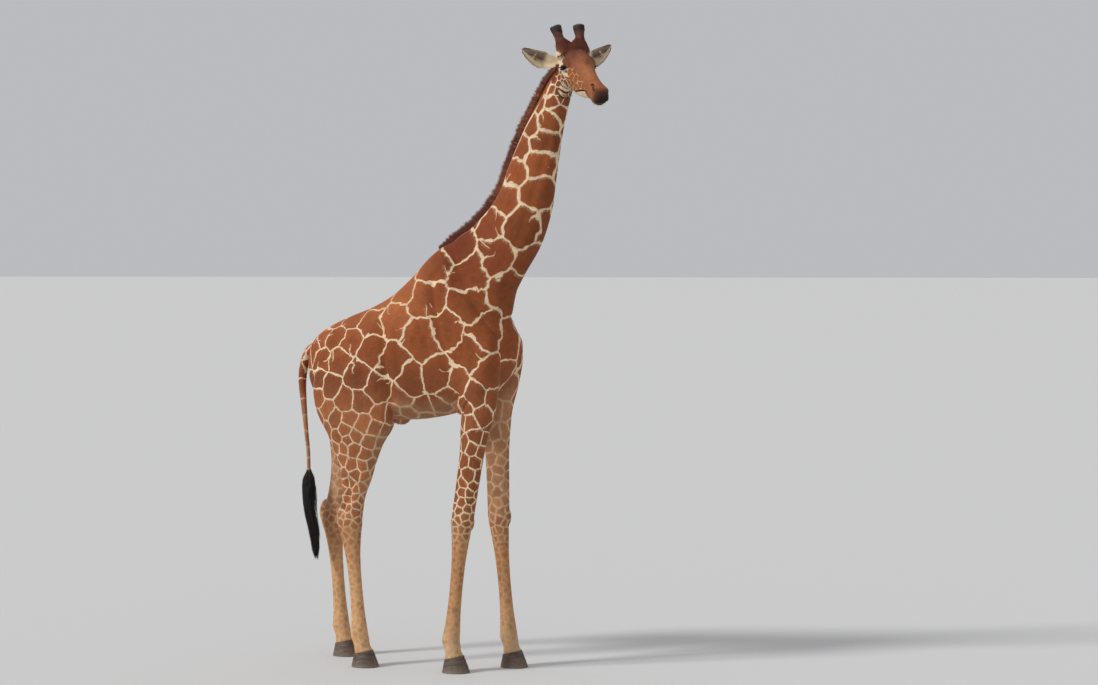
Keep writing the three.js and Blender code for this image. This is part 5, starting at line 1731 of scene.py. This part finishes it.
def tail_hair():
    """Locks in clumps: each clump has its own way round the dock, depth, end and wave. A lock swells
    away from the dock at once, hangs, and closes in on its clump's middle as it thins to the end."""
    rng = np.random.default_rng(111)
    count, clumps, levels = int(3600 * count_scale), 120, 9
    rows = np.array(TAIL)
    clump = rng.integers(0, clumps, count)
    own_angle = rng.uniform(0, 2 * np.pi, clumps)[clump]
    own_depth = (rng.uniform(0.15, 1.0, clumps) ** 0.6)[clump]
    own_start = (6.62 + 2.7 * rng.uniform(0, 1, clumps) ** 1.8)[clump]
    own_run = rng.uniform(2.2, 5.0, clumps)[clump]
    own_wave, own_phase, own_flare = (rng.uniform(*span, clumps)[clump][:, None]
                                      for span in ((0.004, 0.016), (0, 2 * np.pi), (-0.20, 0.60)))
    start = own_start + rng.uniform(0, 0.25, count)
    own_last = (11.97 - 1.3 * rng.uniform(0, 1, clumps) ** 1.3)[clump]
    end = np.minimum(start + own_run * rng.uniform(0.85, 1.1, count), own_last - rng.uniform(0, 0.25, count))
    end = np.maximum(end, start + 0.8)
    s = np.linspace(0, 1, levels)[None, :]
    row = through(rows, (start[:, None] + (end - start)[:, None] * s).ravel()).reshape(count, levels, -1)
    angle = (own_angle + rng.normal(0, 0.22, count))[:, None] - 0.22 * s * (rng.normal(0, 1, count))[:, None]
    inward = np.clip(own_depth + rng.normal(0, 0.07, count), 0.05, 1.04)[:, None]
    bulk = np.minimum(row[..., 3], row[..., 4]) - 0.003
    reach = 0.010 + (bulk * inward - 0.010) * ramp(0, 0.10, s)
    reach = reach * (1 + own_flare * s**2) + 0.004 * s * (rng.uniform(-1, 1, count))[:, None]
    wave = own_wave * np.sin(5.5 * s + own_phase) * s
    x = row[..., 0] + np.cos(angle) * reach + wave
    y = row[..., 1] + np.sin(angle) * reach * 0.9 + wave * np.cos(own_phase * 3)
    path = np.stack([x, y, row[..., 2]], -1)
    out = np.stack([np.cos(angle[:, 0]), np.sin(angle[:, 0]), np.zeros(count)], 1)
    patches = np.stack([0.02 + 0.96 * (start - 6.6) / 3.1, 0.02 + 0.96 * (own_angle + 0.6) / 7.6], 1)
    wide = rng.uniform(0.0010, 0.0019, count)
    made, rise = locks("tail_hair", path, wide, out, patches, 0.6)
    set_attribute(made.data, "up", np.tile(rise, count), "FLOAT")
    return made


tassel = tail_hair()
tassel.data.materials.append(
    plain_hair_material("coarse tail hair", "#14120e", "#2a251d", 0.4, 180.0, "#2e2318"))
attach(tassel, "root")
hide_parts("tail_tuft")

# ------------------------------ lashes and fringes
# Long black lashes over each eye, short ones under it, stiff hairs about the lips and chin, and
# soft pale hair along the rims and in the hollow of the ears.

def lashes(name, side):
    rng = np.random.default_rng(121 + side)
    gaze, ahead, rise = eye_axes(side)
    rows = []
    for count, tall, first, last, size in ((230, LID_HIGH, 0.03, 0.97, 0.026),
                                           (90, -LID_LOW, 0.20, 0.88, 0.010)):
        turn = np.pi * np.linspace(first, last, count)
        level = EYE_HALF * 1.10 * np.cos(turn)
        upright = tall * 1.12 * np.sin(turn) - LID_DIP * level
        deep = np.sqrt(np.maximum(LID_BALL**2 - level**2 - upright**2, 1e-6)) + 0.0006
        roots = (EYE_IN_HEAD * [1, side, 1] + level[:, None] * ahead + upright[:, None] * rise
                 + deep[:, None] * gaze)
        fan = (14 * level + 0.10)[:, None] * ahead
        lie = gaze + fan + rise * (0.10 if tall > 0 else -0.55)
        out = rise * np.sign(tall) + 0 * lie
        rows.append((roots, lie, out, size * rng.uniform(0.75, 1.1, count) * np.sin(turn) ** 0.35))
    roots, lie, out, long = (np.concatenate([row[k] for row in rows]) for k in range(4))
    lift = np.radians(rng.uniform(-28, -8, len(roots)))
    roots = from_head(roots)
    grown(name, roots, unit(lie) @ HEAD_AXES.T, unit(out) @ HEAD_AXES.T, long,
          np.full(len(roots), 0.0005), lift, 7, patches_at(roots, "head"), black_hair, 4, 1.2, 0.10)


face_out = unit(normals[triangles].mean(1)) @ HEAD_AXES
opened = np.max([(face_own[:, 1] * side > 0.1) * (face_out @ ear_axes(side)[3]) for side in (-1, 1)], 0)


def ear_fringe(name, side):
    """Hair that stands off the rim, and finer hair in the hollow toward the ear's root."""
    root, along, across, _ = ear_axes(side)
    offset = face_own - root
    t = (offset @ along) / (EAR_LENGTH + EAR_BURIED)
    half, _, droop = ear_shape(np.clip(t, 0, 1))
    part = (offset @ across - side * droop) / half
    on_ear = area * on_head * (face_own[:, 1] * side > 0.105) * (t > 0.28) * (t < 0.99)
    at_rim = scatter(on_ear * (np.abs(part) > 0.90), int(3200 * count_scale), 141 + side)
    hollow = on_ear * (np.abs(part) < 0.75) * (t < 0.62) * (opened > 0.3)
    inside = scatter(hollow, int(1500 * count_scale), 142 + side)
    place = tuple(np.concatenate(pair) for pair in zip(at_rim, inside))
    edge = np.arange(len(place[0])) < len(at_rim[0])
    turn = np.where(edge, 0.7 * np.sign(part[place[0]]), -0.5 * part[place[0]])
    toward = unit(along + across * turn[:, None]) @ HEAD_AXES.T
    rng = np.random.default_rng(151 + side)
    count = len(edge)
    roots, out = rooted(place)
    paths = tuft_paths(roots, toward, out, np.where(edge, 0.0075, 0.012) * rng.uniform(0.5, 1.2, count),
                       np.radians(np.where(edge, 8, 12) * rng.uniform(0.3, 1.6, count)), 9 + side, 2, 0.5)
    made, up = locks(name, paths, np.full(count, 0.0005), out, patches_at(roots, "head"))
    dress(made, up, place)
    laid_flat(made, out)
    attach(made, "root")


def whiskers():
    rng = np.random.default_rng(161)
    weight = area * on_head * (ramp(0.33, 0.42, face_own[:, 0]) * ramp(0.005, -0.05, face_own[:, 2]) > 0.3)
    count = int(130 * count_scale)
    place = scatter(weight, count, 162)
    roots, out = rooted(place)
    toward = at_places(lie, place) * 0.3 + [0, 0, -0.6]
    length = rng.uniform(0.008, 0.018, count)
    lift = np.radians(rng.uniform(25, 65, count))
    grown("whiskers", roots, toward, out, length, np.full(count, 0.00028), lift, 163,
          patches_at(roots, "head"), black_hair, 3, 0.3)


for side, name in ((-1, "right"), (1, "left")):
    lashes("lashes_" + name, side)
    ear_fringe("ear_fringe_" + name, side)
whiskers()

# ------------------------------ floor and light
# A plain pale studio: a wide floor, even light from all round and one broad soft lamp, so far off
# up to the left that it lights the animal alike from head to hoof.

floor = bpy.data.objects.new("floor", bpy.data.meshes.new("floor"))
floor.data.from_pydata([(-900, -900, 0), (900, -900, 0), (900, 900, 0), (-900, 900, 0)], [], [(0, 1, 2, 3)])
bpy.context.scene.collection.objects.link(floor)
paint, _, _ = new_material("pale studio floor paint", base_color=(*srgb("#d9d8d6"), 1), roughness=0.9)
floor.data.materials.append(paint)

world = bpy.data.worlds.new("studio")
bpy.context.scene.world = world
world.use_nodes = True
world.node_tree.nodes["Background"].inputs["Color"].default_value = (*srgb("#e6e8ec"), 1)
world.node_tree.nodes["Background"].inputs["Strength"].default_value = 0.62

key = bpy.data.objects.new("key", bpy.data.lights.new("key", "SUN"))
key.data.energy = 1.9
key.data.angle = math.radians(11)
key.rotation_euler = Vector((6, 7, -7)).to_track_quat("-Z", "Y").to_euler()
bpy.context.scene.collection.objects.link(key)
bpy.context.scene.view_settings.view_transform = "Standard"
